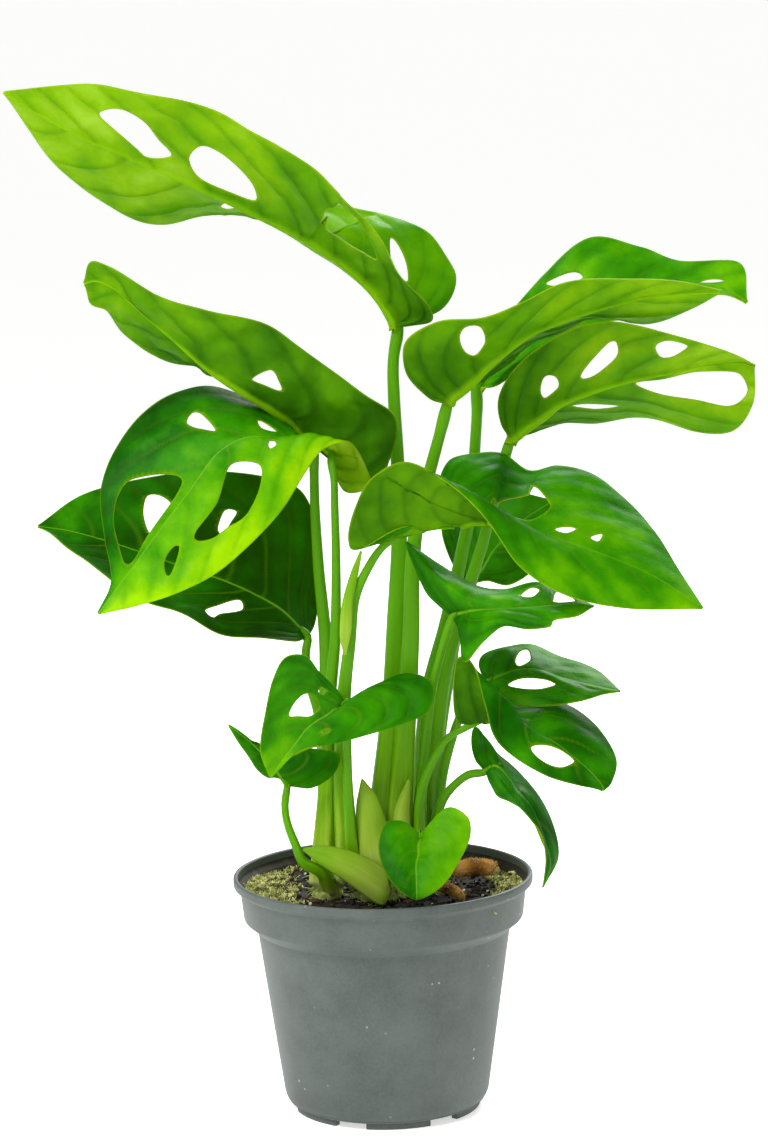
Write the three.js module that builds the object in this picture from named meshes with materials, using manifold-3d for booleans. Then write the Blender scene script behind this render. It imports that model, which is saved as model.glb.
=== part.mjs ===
// A potted monstera: a round nursery pot, its soil, three shoots of sheathed petioles and sixteen
// window leaves. Millimetres, +Z up, the floor at z = 0 and the pot's axis on x = y = 0.
// The plant's own points are measured from the soil's surface on the pot's axis.
import * as THREE from "three";
import { mergeVertices } from "three/addons/utils/BufferGeometryUtils.js";
import Module from "manifold-3d";

const wasm = await Module();
wasm.setup();

// ---- Sizes of the pot
const POT_HEIGHT = 95;
const LIP_RADIUS = 60; // outside of the thick top edge
const LIP_HEIGHT = 3.5;
const LIP_SLOPE = 1.5; // from under the lip in to the band
const BAND_RADIUS = 57.4; // outside of the stepped band, at its top
const BAND_HEIGHT = 12; // below the lip's slope
const BAND_TAPER = 1.4; // how much narrower the band is at its lower edge
const STEP_HEIGHT = 6; // slope from the band in to the body
const BODY_RADIUS = 50.7; // outside of the body, just under the step
const BASE_RADIUS = 41.2; // outside of the body, just over the rounded bottom edge
const EDGE_ROUND = 5; // radius of the bottom edge
const POT_WALL = 1.4;
const FLOOR_THICKNESS = 2;
const FOOT_HEIGHT = 2;
const FOOT_COUNT = 6;
const FOOT_NOTCH_WIDTH = 13;
const FOOT_NOTCH_START = -113; // degrees round from +X to the first notch
const FOOT_RING_WIDTH = 3;
const CENTRE_PAD_RADIUS = 9;
const DRAIN_COUNT = 6;
const DRAIN_RADIUS = 3.5;
const DRAIN_CIRCLE_RADIUS = 24;

// ---- Sizes of the soil and of what stands in it
const SOIL_DROP = 8; // from the top of the pot down to the soil
const SOIL_CLEARANCE = 0.3; // between the soil and the pot
const SOIL_MOUND = 1.5; // how far the soil rises round the plant
const ROOT_CLEARANCE = 0.3; // between a buried foot and the soil round it
const FOOT_DEPTH = 14; // how deep each shoot is buried
const CROWN_HEIGHT = 12; // how far each shoot's thick foot stands out of the soil
const CROWN_TAPER = 0.75; // a foot's radius at its top, as a share of its buried end

// ---- Sizes of the plant
const PLANT_SCALE = 1; // all the growth together, about the soil's surface
const BLADE_THICKNESS = 0.8;
const TIP_WIDTH = 1; // a blade's width at its two ends
const BLADE_GAP = 0.6; // between a petiole's end and its blade
const PETIOLE_THICKENING = 1; // all petiole radii together
const PETIOLE_SIDES = 7;
const CELLS_ACROSS_HALF = 3; // facets from midrib to margin
const CELLS_PER_STATION = 1.4; // facets along a blade for each of its stations

const SOIL_LEVEL = POT_HEIGHT - SOIL_DROP;
const FULL_TURN = 2 * Math.PI;

const COLOURS = {
  pot: 0x6b777a,
  soil: 0x2b211b,
  root: 0x8a6a45,
  petiole: 0x6f9e22,
  sheath: 0xa9bf6a,
  blade: 0x3f8f17,
  blade_pale: 0x6fa52e,
  blade_dark: 0x1f6b1a,
};

// Each blade is lofted through its stations, from the base at the petiole to the tip. A station is
// [left margin, midrib, right margin]. bulge is how far each half swells out between midrib and
// margin. A window is an outline in blade coordinates: u from base 0 to tip 1, and v from the left
// margin -1 over the midrib 0 to the right margin 1.
const LEAVES = {
  leaf_high_left: {
    base: [10, 4, 226],
    tip: [-140, -8, 321],
    bulge: [4, 3],
    stations: [
      [[24, -3, 230], [8, 4, 231], [28, 9, 233]],
      [[16, -11, 243], [2, 4, 240], [33, 16, 246]],
      [[6, -18, 258], [-8, 3, 250], [26, 22, 258]],
      [[-7, -24, 277], [-21, 2, 259], [9, 27, 269]],
      [[-23, -27, 291], [-33, 1, 267], [-16, 30, 273]],
      [[-45, -28, 306], [-51, 0, 276], [-43, 30, 270]],
      [[-69, -28, 316], [-72, -2, 286], [-66, 28, 270]],
      [[-96, -24, 322], [-94, -4, 296], [-93, 22, 270]],
      [[-120, -15, 323], [-117, -6, 307], [-119, 12, 289]],
    ],
    windows: [
      [
        [0.83, -0.51], [0.82, -0.65], [0.79, -0.72], [0.76, -0.63], [0.74, -0.45], [0.72, -0.29],
        [0.76, -0.12], [0.78, -0.2],
      ],
      [
        [0.69, -0.32], [0.68, -0.51], [0.66, -0.59], [0.62, -0.55], [0.58, -0.4], [0.57, -0.19],
        [0.61, -0.13], [0.67, -0.13],
      ],
      [
        [0.43, -0.61], [0.42, -0.8], [0.37, -0.84], [0.29, -0.6], [0.33, -0.38], [0.37, -0.31],
        [0.41, -0.3],
      ],
      [
        [0.33, 0.55], [0.34, 0.63], [0.3, 0.57], [0.24, 0.46], [0.21, 0.38], [0.25, 0.35],
        [0.29, 0.41],
      ],
      [[0.65, 0.48], [0.63, 0.2], [0.61, 0.22], [0.64, 0.53]],
    ],
  },
  leaf_curled_left: {
    base: [-24, -2, 180],
    tip: [-111, -12, 247],
    bulge: [4, 2],
    stations: [
      [[-2, -1, 166], [-27, -2, 184], [-25, 2, 184]],
      [[6, -4, 176], [-31, -3, 189], [-29, 4, 190]],
      [[8, -5, 192], [-36, -5, 194], [-34, 7, 196]],
      [[-5, -10, 203], [-44, -7, 200], [-42, 7, 203]],
      [[-24, -16, 217], [-52, -9, 205], [-56, 6, 207]],
      [[-42, -21, 231], [-63, -11, 213], [-69, 4, 213]],
      [[-64, -23, 237], [-73, -13, 222], [-83, 1, 218]],
      [[-85, -22, 243], [-84, -14, 232], [-97, -3, 226]],
      [[-100, -17, 253], [-96, -14, 243], [-103, -8, 237]],
      [[-108, -13, 255], [-105, -13, 248], [-109, -10, 240]],
    ],
    windows: [
      [[0.47, -0.27], [0.47, -0.54], [0.44, -0.48], [0.41, -0.36], [0.44, -0.3]],
    ],
  },
  leaf_windowed: {
    base: [-17, -15, 180],
    tip: [-108, -34, 121],
    bulge: [5, 3],
    stations: [
      [[-19, -12, 182], [-19, -16, 182], [-12, -8, 164]],
      [[-22, -10, 183], [-21, -17, 184], [-2, -7, 166]],
      [[-26, -7, 183], [-24, -18, 185], [-5, -13, 177]],
      [[-34, 5, 187], [-30, -19, 187], [-11, -20, 184]],
      [[-44, 14, 197], [-38, -21, 187], [-20, -23, 182]],
      [[-63, 12, 203], [-50, -22, 187], [-28, -25, 172]],
      [[-83, 5, 199], [-61, -23, 181], [-37, -28, 159]],
      [[-98, -6, 187], [-72, -26, 167], [-49, -33, 147]],
      [[-106, -17, 169], [-84, -28, 152], [-63, -36, 136]],
      [[-105, -25, 150], [-93, -30, 140], [-78, -37, 129]],
      [[-103, -29, 133], [-101, -31, 130], [-94, -35, 124]],
    ],
    windows: [
      [[0.58, -0.54], [0.56, -0.61], [0.55, -0.52], [0.55, -0.24], [0.57, -0.35], [0.58, -0.45]],
      [[0.45, -0.28], [0.41, -0.1], [0.45, -0.13]],
      [[0.48, 0.29], [0.46, 0.22], [0.47, 0.37], [0.49, 0.39]],
      [
        [0.79, -0.71], [0.73, -0.69], [0.7, -0.54], [0.66, -0.2], [0.68, -0.09], [0.78, -0.09],
        [0.84, -0.09], [0.85, -0.3], [0.82, -0.6],
      ],
      [
        [0.58, 0.22], [0.54, 0.46], [0.57, 0.63], [0.63, 0.73], [0.67, 0.66], [0.7, 0.62],
        [0.72, 0.5], [0.71, 0.4], [0.65, 0.37],
      ],
      [[0.79, 0.36], [0.76, 0.31], [0.75, 0.38], [0.79, 0.55], [0.81, 0.62], [0.81, 0.53]],
    ],
  },
  leaf_dark_left: {
    base: [-28, 2, 104],
    tip: [-134, 6, 150],
    bulge: [-4, -3],
    stations: [
      [[-25, 10, 109], [-31, 3, 108], [-33, -4, 104]],
      [[-24, 18, 120], [-38, 4, 115], [-46, -9, 106]],
      [[-23, 24, 133], [-48, 5, 121], [-61, -12, 109]],
      [[-26, 28, 151], [-61, 6, 127], [-75, -13, 116]],
      [[-35, 30, 162], [-75, 6, 132], [-89, -12, 122]],
      [[-60, 29, 167], [-91, 6, 138], [-104, -8, 130]],
      [[-90, 25, 166], [-108, 6, 144], [-118, -3, 140]],
      [[-116, 17, 161], [-122, 6, 148], [-127, 2, 147]],
    ],
    windows: [
      [[0.74, -0.44], [0.76, -0.7], [0.74, -0.71], [0.7, -0.56], [0.69, -0.39], [0.7, -0.23]],
      [[0.59, -0.44], [0.61, -0.61], [0.59, -0.63], [0.58, -0.53], [0.57, -0.4]],
      [[0.5, -0.18], [0.52, -0.3], [0.5, -0.32], [0.49, -0.25], [0.49, -0.17]],
      [
        [0.42, 0.68], [0.4, 0.45], [0.38, 0.28], [0.36, 0.22], [0.34, 0.37], [0.38, 0.6],
        [0.39, 0.74],
      ],
    ],
  },
  leaf_low_left: {
    base: [-13, -24, 82],
    tip: [-43, -34, 55],
    bulge: [-2, 3],
    stations: [
      [[-16, -28, 88], [-15, -26, 81], [0, -18, 90]],
      [[-23, -33, 96], [-18, -28, 80], [12, -16, 93]],
      [[-28, -36, 103], [-21, -29, 78], [21, -19, 88]],
      [[-36, -38, 103], [-25, -30, 76], [18, -25, 78]],
      [[-41, -38, 94], [-29, -31, 73], [2, -30, 73]],
      [[-44, -37, 80], [-33, -32, 68], [-18, -33, 68]],
      [[-46, -36, 66], [-38, -33, 62], [-32, -34, 65]],
    ],
    windows: [
      [[0.66, -0.39], [0.53, -0.41], [0.43, -0.36], [0.41, -0.15], [0.54, -0.12]],
      [[0.36, -0.4], [0.27, -0.55], [0.23, -0.53], [0.31, -0.36]],
      [[0.64, 0.2], [0.61, 0.22], [0.65, 0.34], [0.66, 0.3]],
    ],
  },
  leaf_lowest_left: {
    base: [-37, -20, 49],
    tip: [-59, -28, 75],
    bulge: [1, 2],
    stations: [
      [[-40, -22, 52], [-39, -23, 52], [-28, -16, 46]],
      [[-44, -24, 53], [-41, -25, 56], [-19, -17, 52]],
      [[-48, -26, 57], [-44, -26, 60], [-17, -21, 61]],
      [[-51, -27, 62], [-47, -27, 64], [-27, -25, 64]],
      [[-55, -28, 68], [-52, -27, 69], [-44, -27, 65]],
    ],
    windows: [],
  },
  leaf_arching_right: {
    base: [24, -25, 152],
    tip: [125, -42, 120],
    bulge: [4, 4],
    stations: [
      [[27, -18, 159], [26, -26, 152], [9, -31, 152]],
      [[25, -10, 167], [30, -27, 152], [-7, -31, 144]],
      [[30, -3, 175], [34, -26, 152], [-11, -31, 148]],
      [[41, 2, 176], [38, -27, 153], [-8, -33, 160]],
      [[51, 5, 175], [43, -28, 153], [-1, -34, 172]],
      [[61, 7, 169], [48, -29, 153], [13, -34, 178]],
      [[72, 8, 170], [55, -30, 152], [29, -36, 169]],
      [[86, 5, 166], [64, -31, 149], [43, -42, 155]],
      [[100, -4, 156], [75, -33, 145], [55, -50, 139]],
      [[109, -16, 146], [89, -36, 140], [73, -53, 128]],
      [[117, -30, 132], [107, -39, 132], [96, -50, 122]],
    ],
    windows: [
      [
        [0.41, -0.13], [0.46, -0.45], [0.54, -0.59], [0.62, -0.4], [0.64, -0.29], [0.61, -0.09],
        [0.53, -0.09],
      ],
      [[0.69, -0.09], [0.71, -0.18], [0.73, -0.21], [0.72, -0.1]],
      [[0.77, -0.19], [0.78, -0.32], [0.79, -0.18]],
    ],
  },
  leaf_shiny_middle: {
    base: [29, -18, 114],
    tip: [83, -44, 122],
    bulge: [3, 3],
    stations: [
      [[24, -17, 119], [31, -20, 116], [32, -24, 109]],
      [[18, -15, 126], [34, -22, 117], [33, -30, 99]],
      [[11, -13, 144], [36, -25, 118], [40, -37, 108]],
      [[24, -9, 135], [41, -29, 119], [48, -43, 115]],
      [[38, -8, 124], [49, -33, 120], [58, -48, 114]],
      [[49, -12, 123], [58, -37, 121], [66, -49, 115]],
      [[63, -20, 128], [67, -40, 122], [68, -48, 118]],
      [[76, -32, 124], [76, -42, 123], [77, -46, 119]],
    ],
    windows: [
      [[0.69, -0.48], [0.74, -0.72], [0.76, -0.55], [0.72, -0.34]],
      [[0.8, -0.24], [0.85, -0.85], [0.89, -0.27], [0.86, -0.09], [0.8, -0.09]],
    ],
  },
  leaf_folded_right: {
    base: [29, -3, 197],
    tip: [135, -20, 240],
    bulge: [4, 2],
    stations: [
      [[21, -8, 200], [30, -4, 200], [35, 2, 200]],
      [[13, -14, 210], [34, -5, 203], [42, 8, 205]],
      [[13, -19, 223], [38, -6, 206], [50, 14, 210]],
      [[25, -23, 230], [43, -8, 211], [59, 17, 215]],
      [[41, -26, 232], [51, -10, 218], [66, 17, 221]],
      [[58, -28, 238], [61, -12, 225], [78, 15, 224]],
      [[76, -28, 245], [74, -14, 230], [92, 10, 230]],
      [[97, -26, 246], [90, -16, 235], [107, 4, 227]],
      [[117, -22, 244], [109, -18, 239], [123, -8, 232]],
    ],
    windows: [
      [[0.42, -0.68], [0.46, -0.86], [0.49, -0.82], [0.47, -0.47], [0.42, -0.3], [0.4, -0.43]],
    ],
  },
  leaf_behind_right: {
    base: [41, 16, 201],
    tip: [149, 24, 232],
    bulge: [-3, -2],
    stations: [
      [[40, 20, 207], [44, 17, 204], [47, 12, 202]],
      [[46, 28, 217], [50, 20, 209], [56, 14, 207]],
      [[57, 38, 230], [62, 25, 218], [68, 18, 215]],
      [[70, 46, 243], [76, 30, 225], [82, 20, 221]],
      [[89, 50, 257], [92, 34, 232], [96, 22, 226]],
      [[109, 49, 253], [110, 36, 237], [113, 24, 229]],
      [[124, 44, 247], [127, 34, 239], [127, 26, 233]],
      [[147, 36, 247], [140, 29, 238], [139, 25, 236]],
    ],
    windows: [
      [[0.44, -0.85], [0.47, -0.79], [0.51, -0.65], [0.52, -0.51], [0.47, -0.64]],
      [[0.38, -0.59], [0.41, -0.73], [0.43, -0.71], [0.44, -0.58], [0.41, -0.48]],
      [[0.81, -0.09], [0.84, -0.25], [0.88, -0.23], [0.85, -0.09]],
      [[0.61, 0.46], [0.65, 0.34], [0.7, 0.64], [0.65, 0.86], [0.62, 0.75]],
    ],
  },
  leaf_wide_right: {
    base: [54, 8, 181],
    tip: [150, 2, 209],
    bulge: [3, 3],
    stations: [
      [[50, 3, 188], [56, 8, 183], [61, 13, 183]],
      [[49, -3, 198], [61, 7, 187], [66, 18, 184]],
      [[54, -8, 208], [67, 6, 191], [74, 22, 185]],
      [[63, -12, 218], [74, 5, 196], [84, 25, 186]],
      [[77, -15, 226], [85, 4, 200], [95, 27, 186]],
      [[94, -16, 228], [99, 3, 204], [110, 27, 186]],
      [[113, -14, 224], [115, 2, 207], [128, 24, 182]],
      [[131, -9, 218], [130, 2, 210], [143, 18, 182]],
      [[144, -2, 212], [142, 2, 211], [150, 8, 194]],
    ],
    windows: [
      [[0.35, -0.42], [0.39, -0.57], [0.42, -0.46], [0.41, -0.27], [0.35, -0.25]],
      [[0.49, -0.32], [0.54, -0.54], [0.59, -0.73], [0.59, -0.48], [0.54, -0.27], [0.5, -0.23]],
      [[0.68, -0.68], [0.71, -0.85], [0.75, -0.79], [0.72, -0.46], [0.69, -0.43]],
      [
        [0.62, 0.09], [0.68, 0.09], [0.78, 0.09], [0.89, 0.26], [0.9, 0.67], [0.84, 0.69],
        [0.75, 0.48], [0.66, 0.32],
      ],
      [[0.42, 0.22], [0.48, 0.3], [0.55, 0.53], [0.48, 0.48]],
    ],
  },
  leaf_right_upper_small: {
    base: [42, -3, 85],
    tip: [95, -14, 83],
    bulge: [2, 2],
    stations: [
      [[40, 2, 92], [45, -4, 87], [45, -8, 83]],
      [[44, 8, 96], [49, -5, 89], [48, -14, 80]],
      [[52, 12, 98], [55, -6, 91], [58, -18, 79]],
      [[61, 13, 97], [63, -7, 91], [70, -20, 79]],
      [[72, 10, 92], [72, -9, 88], [79, -20, 80]],
      [[87, 0, 89], [84, -12, 85], [89, -17, 83]],
    ],
    windows: [
      [[0.43, -0.26], [0.49, -0.62], [0.54, -0.68], [0.53, -0.27], [0.45, -0.09]],
      [[0.34, 0.44], [0.43, 0.3], [0.57, 0.33], [0.62, 0.45], [0.52, 0.59], [0.41, 0.56]],
    ],
  },
  leaf_dark_middle: {
    base: [37, 30, 120],
    tip: [72, 44, 151],
    bulge: [-2, -2],
    stations: [
      [[33, 34, 123], [40, 31, 123], [44, 27, 122]],
      [[29, 40, 131], [43, 33, 126], [52, 27, 119]],
      [[27, 46, 141], [47, 36, 132], [60, 29, 123]],
      [[30, 50, 151], [53, 39, 138], [66, 33, 131]],
      [[43, 52, 157], [60, 42, 144], [70, 38, 141]],
    ],
    windows: [],
  },
  leaf_dark_right_low: {
    base: [41, -16, 73],
    tip: [86, -42, 49],
    bulge: [3, 3],
    stations: [
      [[47, -12, 75], [44, -18, 74], [31, -21, 73]],
      [[51, -8, 79], [47, -20, 75], [29, -23, 86]],
      [[57, -6, 80], [50, -22, 74], [31, -24, 99]],
      [[67, -7, 79], [55, -25, 73], [37, -28, 98]],
      [[77, -12, 75], [61, -29, 70], [41, -32, 82]],
      [[86, -20, 68], [69, -33, 66], [46, -38, 68]],
      [[92, -30, 59], [79, -37, 58], [63, -44, 57]],
      [[90, -38, 52], [85, -41, 52], [78, -45, 52]],
    ],
    windows: [
      [[0.69, 0.57], [0.68, 0.27], [0.7, 0.09], [0.75, 0.09], [0.77, 0.52], [0.74, 0.67]],
    ],
  },
  leaf_heart_front: {
    base: [15, -30, 31],
    tip: [13, -50, 9],
    bulge: [3, 3],
    stations: [
      [[9, -31, 36], [15, -32, 29], [25, -30, 41]],
      [[2, -34, 36], [14, -35, 27], [33, -33, 38]],
      [[-1, -38, 29], [14, -38, 24], [34, -37, 31]],
      [[0, -42, 22], [13, -42, 21], [30, -41, 23]],
      [[4, -46, 15], [13, -46, 16], [24, -46, 15]],
      [[9, -49, 11], [13, -49, 12], [18, -49, 11]],
    ],
    windows: [],
  },
  leaf_drooping_right: {
    base: [41, -8, 50],
    tip: [63, -30, 8],
    bulge: [2, 2],
    stations: [
      [[37, -4, 54], [44, -10, 53], [42, -14, 49]],
      [[36, 0, 61], [47, -13, 53], [46, -19, 43]],
      [[38, 2, 66], [51, -16, 49], [51, -23, 41]],
      [[44, 0, 59], [55, -20, 44], [55, -27, 39]],
      [[56, -6, 49], [59, -24, 38], [59, -30, 35]],
      [[65, -14, 35], [63, -27, 28], [62, -32, 30]],
      [[69, -22, 19], [66, -29, 18], [64, -32, 20]],
    ],
    windows: [],
  },
};

// Papery sheaths and the bract are lofted in the same way.
const SHEATHS = {
  sheath_middle: {
    base: [-2, -23.5, 9.2],
    tip: [-7.5, -15, 49.7],
    bulge: [1, 1],
    stations: [
      [[-6.6, -22, 16.2], [-2.6, -23.5, 18.1], [2.2, -22, 19.2]],
      [[-7.6, -20, 27], [-4.4, -21.5, 28.5], [1.2, -19, 30.7]],
      [[-8.9, -18, 38.7], [-6.1, -19, 39.7], [-2.1, -17, 42.4]],
    ],
    windows: [],
  },
  sheath_right: {
    base: [8, -18, 13.3],
    tip: [11.1, -13, 48.9],
    bulge: [1, 1],
    stations: [
      [[5.7, -17.5, 18.1], [8.1, -19, 18.8], [10.5, -16.5, 18.2]],
      [[4.3, -16.5, 26.8], [7.5, -18, 28.3], [10.7, -15.5, 28.1]],
      [[6.1, -14, 38.3], [8.5, -15.5, 39], [10.9, -13.5, 38.9]],
    ],
    windows: [],
  },
  sheath_fallen: {
    base: [2.7, -28, 6.6],
    tip: [-31.1, -28, 24.9],
    bulge: [1, 1],
    stations: [
      [[-1.9, -26, 13], [-3.6, -30, 9.6], [-2.1, -29, 4.1]],
      [[-11.2, -28, 20.9], [-12.4, -31, 17.7], [-12.9, -31, 13.2]],
      [[-22.1, -29, 24.6], [-22.1, -30, 22], [-22.6, -30, 19.2]],
    ],
    windows: [],
  },
  bract: {
    base: [-13.1, -23, 101],
    tip: [-6, -22, 141.7],
    bulge: [0.5, 0.5],
    stations: [
      [[-14.5, -23, 108.5], [-12.5, -24, 110.3], [-10.9, -23.5, 110.9]],
      [[-13.5, -23.5, 120.9], [-11.5, -24.5, 122.2], [-9.9, -24, 122.4]],
      [[-10.1, -23, 132.5], [-8.9, -23.5, 133], [-7.8, -23, 132.5]],
    ],
    windows: [],
  },
};

// Each shoot is one grown piece: a thick foot in the soil, and petioles that run up to their blades.
// A route ends at the base of the blade that the petiole carries.
const SHOOTS = {
  shoot_left: {
    leaf_curled_left: {
      base_radius: 3.6,
      tip_radius: 1.6,
      route: [
        [-21, -6, 7], [-21, -5, 19], [-21, -2, 47], [-21, 1, 75], [-21, 2, 103], [-23, 2, 131],
        [-24, 1, 155], [-24, 0, 171],
      ],
    },
    leaf_windowed: {
      base_radius: 3.2,
      tip_radius: 1.2,
      route: [
        [-24, -12, 7], [-23, -12, 21], [-21, -9, 48], [-20, -8, 76], [-17, -8, 104],
        [-16, -10, 133], [-16, -13, 157], [-16, -17, 169], [-17, -18, 176],
      ],
    },
    leaf_dark_left: {
      base_radius: 2.4,
      tip_radius: 1.4,
      route: [
        [-21, 0, 50], [-24, 2, 72], [-28, 3, 86], [-29, 3, 97],
      ],
    },
    leaf_lowest_left: {
      base_radius: 2.2,
      tip_radius: 1.2,
      route: [
        [-21, -13, 5], [-24, -22, 14], [-31, -25, 19], [-34, -25, 26], [-37, -23, 34],
        [-38, -21, 41],
      ],
    },
  },
  shoot_middle: {
    leaf_high_left: {
      base_radius: 4.8,
      tip_radius: 2,
      route: [
        [-4, -10, 8], [-2, -8, 19], [1, -3, 42], [5, 2, 78], [7, 5, 110], [9, 5, 142], [9, 5, 170],
        [8, 4, 198], [8, 4, 213],
      ],
    },
    leaf_folded_right: {
      base_radius: 4.8,
      tip_radius: 2,
      route: [
        [4, -13, 8], [6, -11, 20], [8, -6, 47], [11, -4, 79], [13, -4, 107], [14, -4, 133],
        [17, -4, 155], [22, -4, 172], [26, -4, 186],
      ],
    },
    leaf_arching_right: {
      base_radius: 4.2,
      tip_radius: 1,
      route: [
        [-14, -15, 9], [-14, -14, 21], [-15, -14, 49], [-14, -16, 82], [-11, -18, 106],
        [-9, -20, 122], [-4, -22, 134], [3, -24, 144], [13, -24, 149],
      ],
    },
    leaf_low_left: {
      base_radius: 2.6,
      tip_radius: 1.4,
      route: [
        [-8, -16, 7], [-12, -20, 22], [-13, -22, 47], [-13, -23, 67],
      ],
    },
    leaf_heart_front: {
      base_radius: 2.2,
      tip_radius: 1.2,
      route: [
        [4, -17, 5], [9, -25, 16], [13, -29, 25],
      ],
    },
  },
  shoot_right: {
    leaf_behind_right: {
      base_radius: 3.6,
      tip_radius: 2,
      route: [
        [15, 6, 5], [16, 9, 19], [17, 13, 51], [20, 16, 79], [27, 17, 105], [33, 17, 130],
        [38, 17, 154], [40, 17, 178], [41, 17, 192],
      ],
    },
    leaf_wide_right: {
      base_radius: 3.6,
      tip_radius: 1.8,
      route: [
        [18, 2, 5], [18, 3, 18], [20, 5, 44], [24, 6, 77], [29, 6, 99], [36, 7, 121], [42, 8, 139],
        [47, 8, 157], [51, 8, 172],
      ],
    },
    leaf_shiny_middle: {
      base_radius: 2.6,
      tip_radius: 1.4,
      route: [
        [14, -7, 5], [14, -7, 19], [16, -8, 47], [20, -10, 80], [25, -14, 101],
      ],
    },
    leaf_right_upper_small: {
      base_radius: 2.6,
      tip_radius: 1.4,
      route: [
        [20, -2, 3], [21, -1, 17], [24, -2, 46], [31, -3, 70], [37, -4, 81],
      ],
    },
    leaf_dark_middle: {
      base_radius: 2.6,
      tip_radius: 1.4,
      route: [
        [20, 8, 6], [20, 12, 18], [24, 21, 57], [30, 27, 89], [34, 29, 108],
      ],
    },
    leaf_dark_right_low: {
      base_radius: 2.4,
      tip_radius: 1.1,
      route: [
        [16, -9, 4], [15, -12, 20], [15, -14, 39], [18, -15, 51], [25, -15, 64], [33, -14, 69],
      ],
    },
    leaf_drooping_right: {
      base_radius: 2.4,
      tip_radius: 1.3,
      route: [
        [19, -6, 4], [19, -7, 19], [22, -8, 33], [26, -9, 42], [34, -9, 49],
      ],
    },
  },
};
// side is the way a shoot moves out from its neighbours when the petioles are made thicker.
const FEET = {
  shoot_left: { centre: [-22, -9], radius: 6.5, side: -1 },
  shoot_middle: { centre: [-1.5, -14], radius: 10, side: 0 },
  shoot_right: { centre: [17, -2], radius: 7.5, side: 1 },
};

// Two thick roots lie on the soil, from beside the right shoot's foot towards the wall of the pot.
const ROOT_START_GAP = 1; // from the foot to the root
const ROOT_BOW = 1.2; // how far a root's middle rises over its ends
const ROOT_LIFT = 0.6; // between a root and the soil's surface
const ROOT_END_SHARE = 0.72; // a root's radius at its ends, as a share of its middle
const ROOTS = {
  aerial_root_right: { radius: 4.2, heading: 13, wallGap: 8 },
  aerial_root_front: { radius: 2.6, heading: -62, wallGap: 12 },
};

// ---- Solids

// A closed three.js geometry as a manifold-3d solid.
function solid(geometry) {
  const bare = geometry.clone();
  bare.deleteAttribute("normal");
  bare.deleteAttribute("uv");
  bare.clearGroups();
  const merged = mergeVertices(bare, 1e-4);
  return new wasm.Manifold(
    new wasm.Mesh({
      numProp: 3,
      vertProperties: new Float32Array(merged.attributes.position.array),
      triVerts: new Uint32Array(merged.index.array),
    }),
  );
}

function geometryOf(manifold) {
  const mesh = manifold.getMesh();
  const geometry = new THREE.BufferGeometry();
  geometry.setAttribute("position", new THREE.BufferAttribute(mesh.vertProperties, mesh.numProp));
  geometry.setIndex(new THREE.BufferAttribute(mesh.triVerts, 1));
  geometry.computeVertexNormals();
  return geometry;
}

function addPart(group, name, geometry, colour, roughness) {
  const material = new THREE.MeshStandardMaterial({ color: colour, roughness, metalness: 0 });
  material.name = name;
  const mesh = new THREE.Mesh(geometry, material);
  mesh.name = name;
  group.add(mesh);
  return mesh;
}

// A solid of revolution about Z from [radius, height] pairs that run up the outside.
function lathe(profile, sides) {
  const points = profile.map(([radius, height]) => new THREE.Vector2(radius, height));
  const geometry = new THREE.LatheGeometry(points, sides);
  geometry.rotateX(Math.PI / 2);
  return geometry;
}

function cylinder(radius, low, high, x, y, sides) {
  const geometry = new THREE.CylinderGeometry(radius, radius, high - low, sides);
  geometry.rotateX(Math.PI / 2);
  geometry.translate(x, y, (low + high) / 2);
  return geometry;
}

// ---- Pot and soil

const BAND_TOP = POT_HEIGHT - LIP_HEIGHT - LIP_SLOPE;
const BAND_LOW = BAND_TOP - BAND_HEIGHT;
const STEP_LOW = BAND_LOW - STEP_HEIGHT;
const FLOOR_LOW = FOOT_HEIGHT;
const EDGE_TOP = FLOOR_LOW + EDGE_ROUND;
const FLOOR_TOP = FLOOR_LOW + FLOOR_THICKNESS;
const POT_SIDES = 40;
const SMALL_SIDES = 20; // of the holes, the centre pad and the buried feet

// The pot's wall from the bottom edge up to the lip, with every radius moved in by inset.
function wallProfile(inset) {
  return [
    [BASE_RADIUS - inset, EDGE_TOP],
    [BODY_RADIUS - inset, STEP_LOW],
    [BAND_RADIUS - BAND_TAPER - inset, BAND_LOW],
    [BAND_RADIUS - inset, BAND_TOP],
  ];
}

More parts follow.
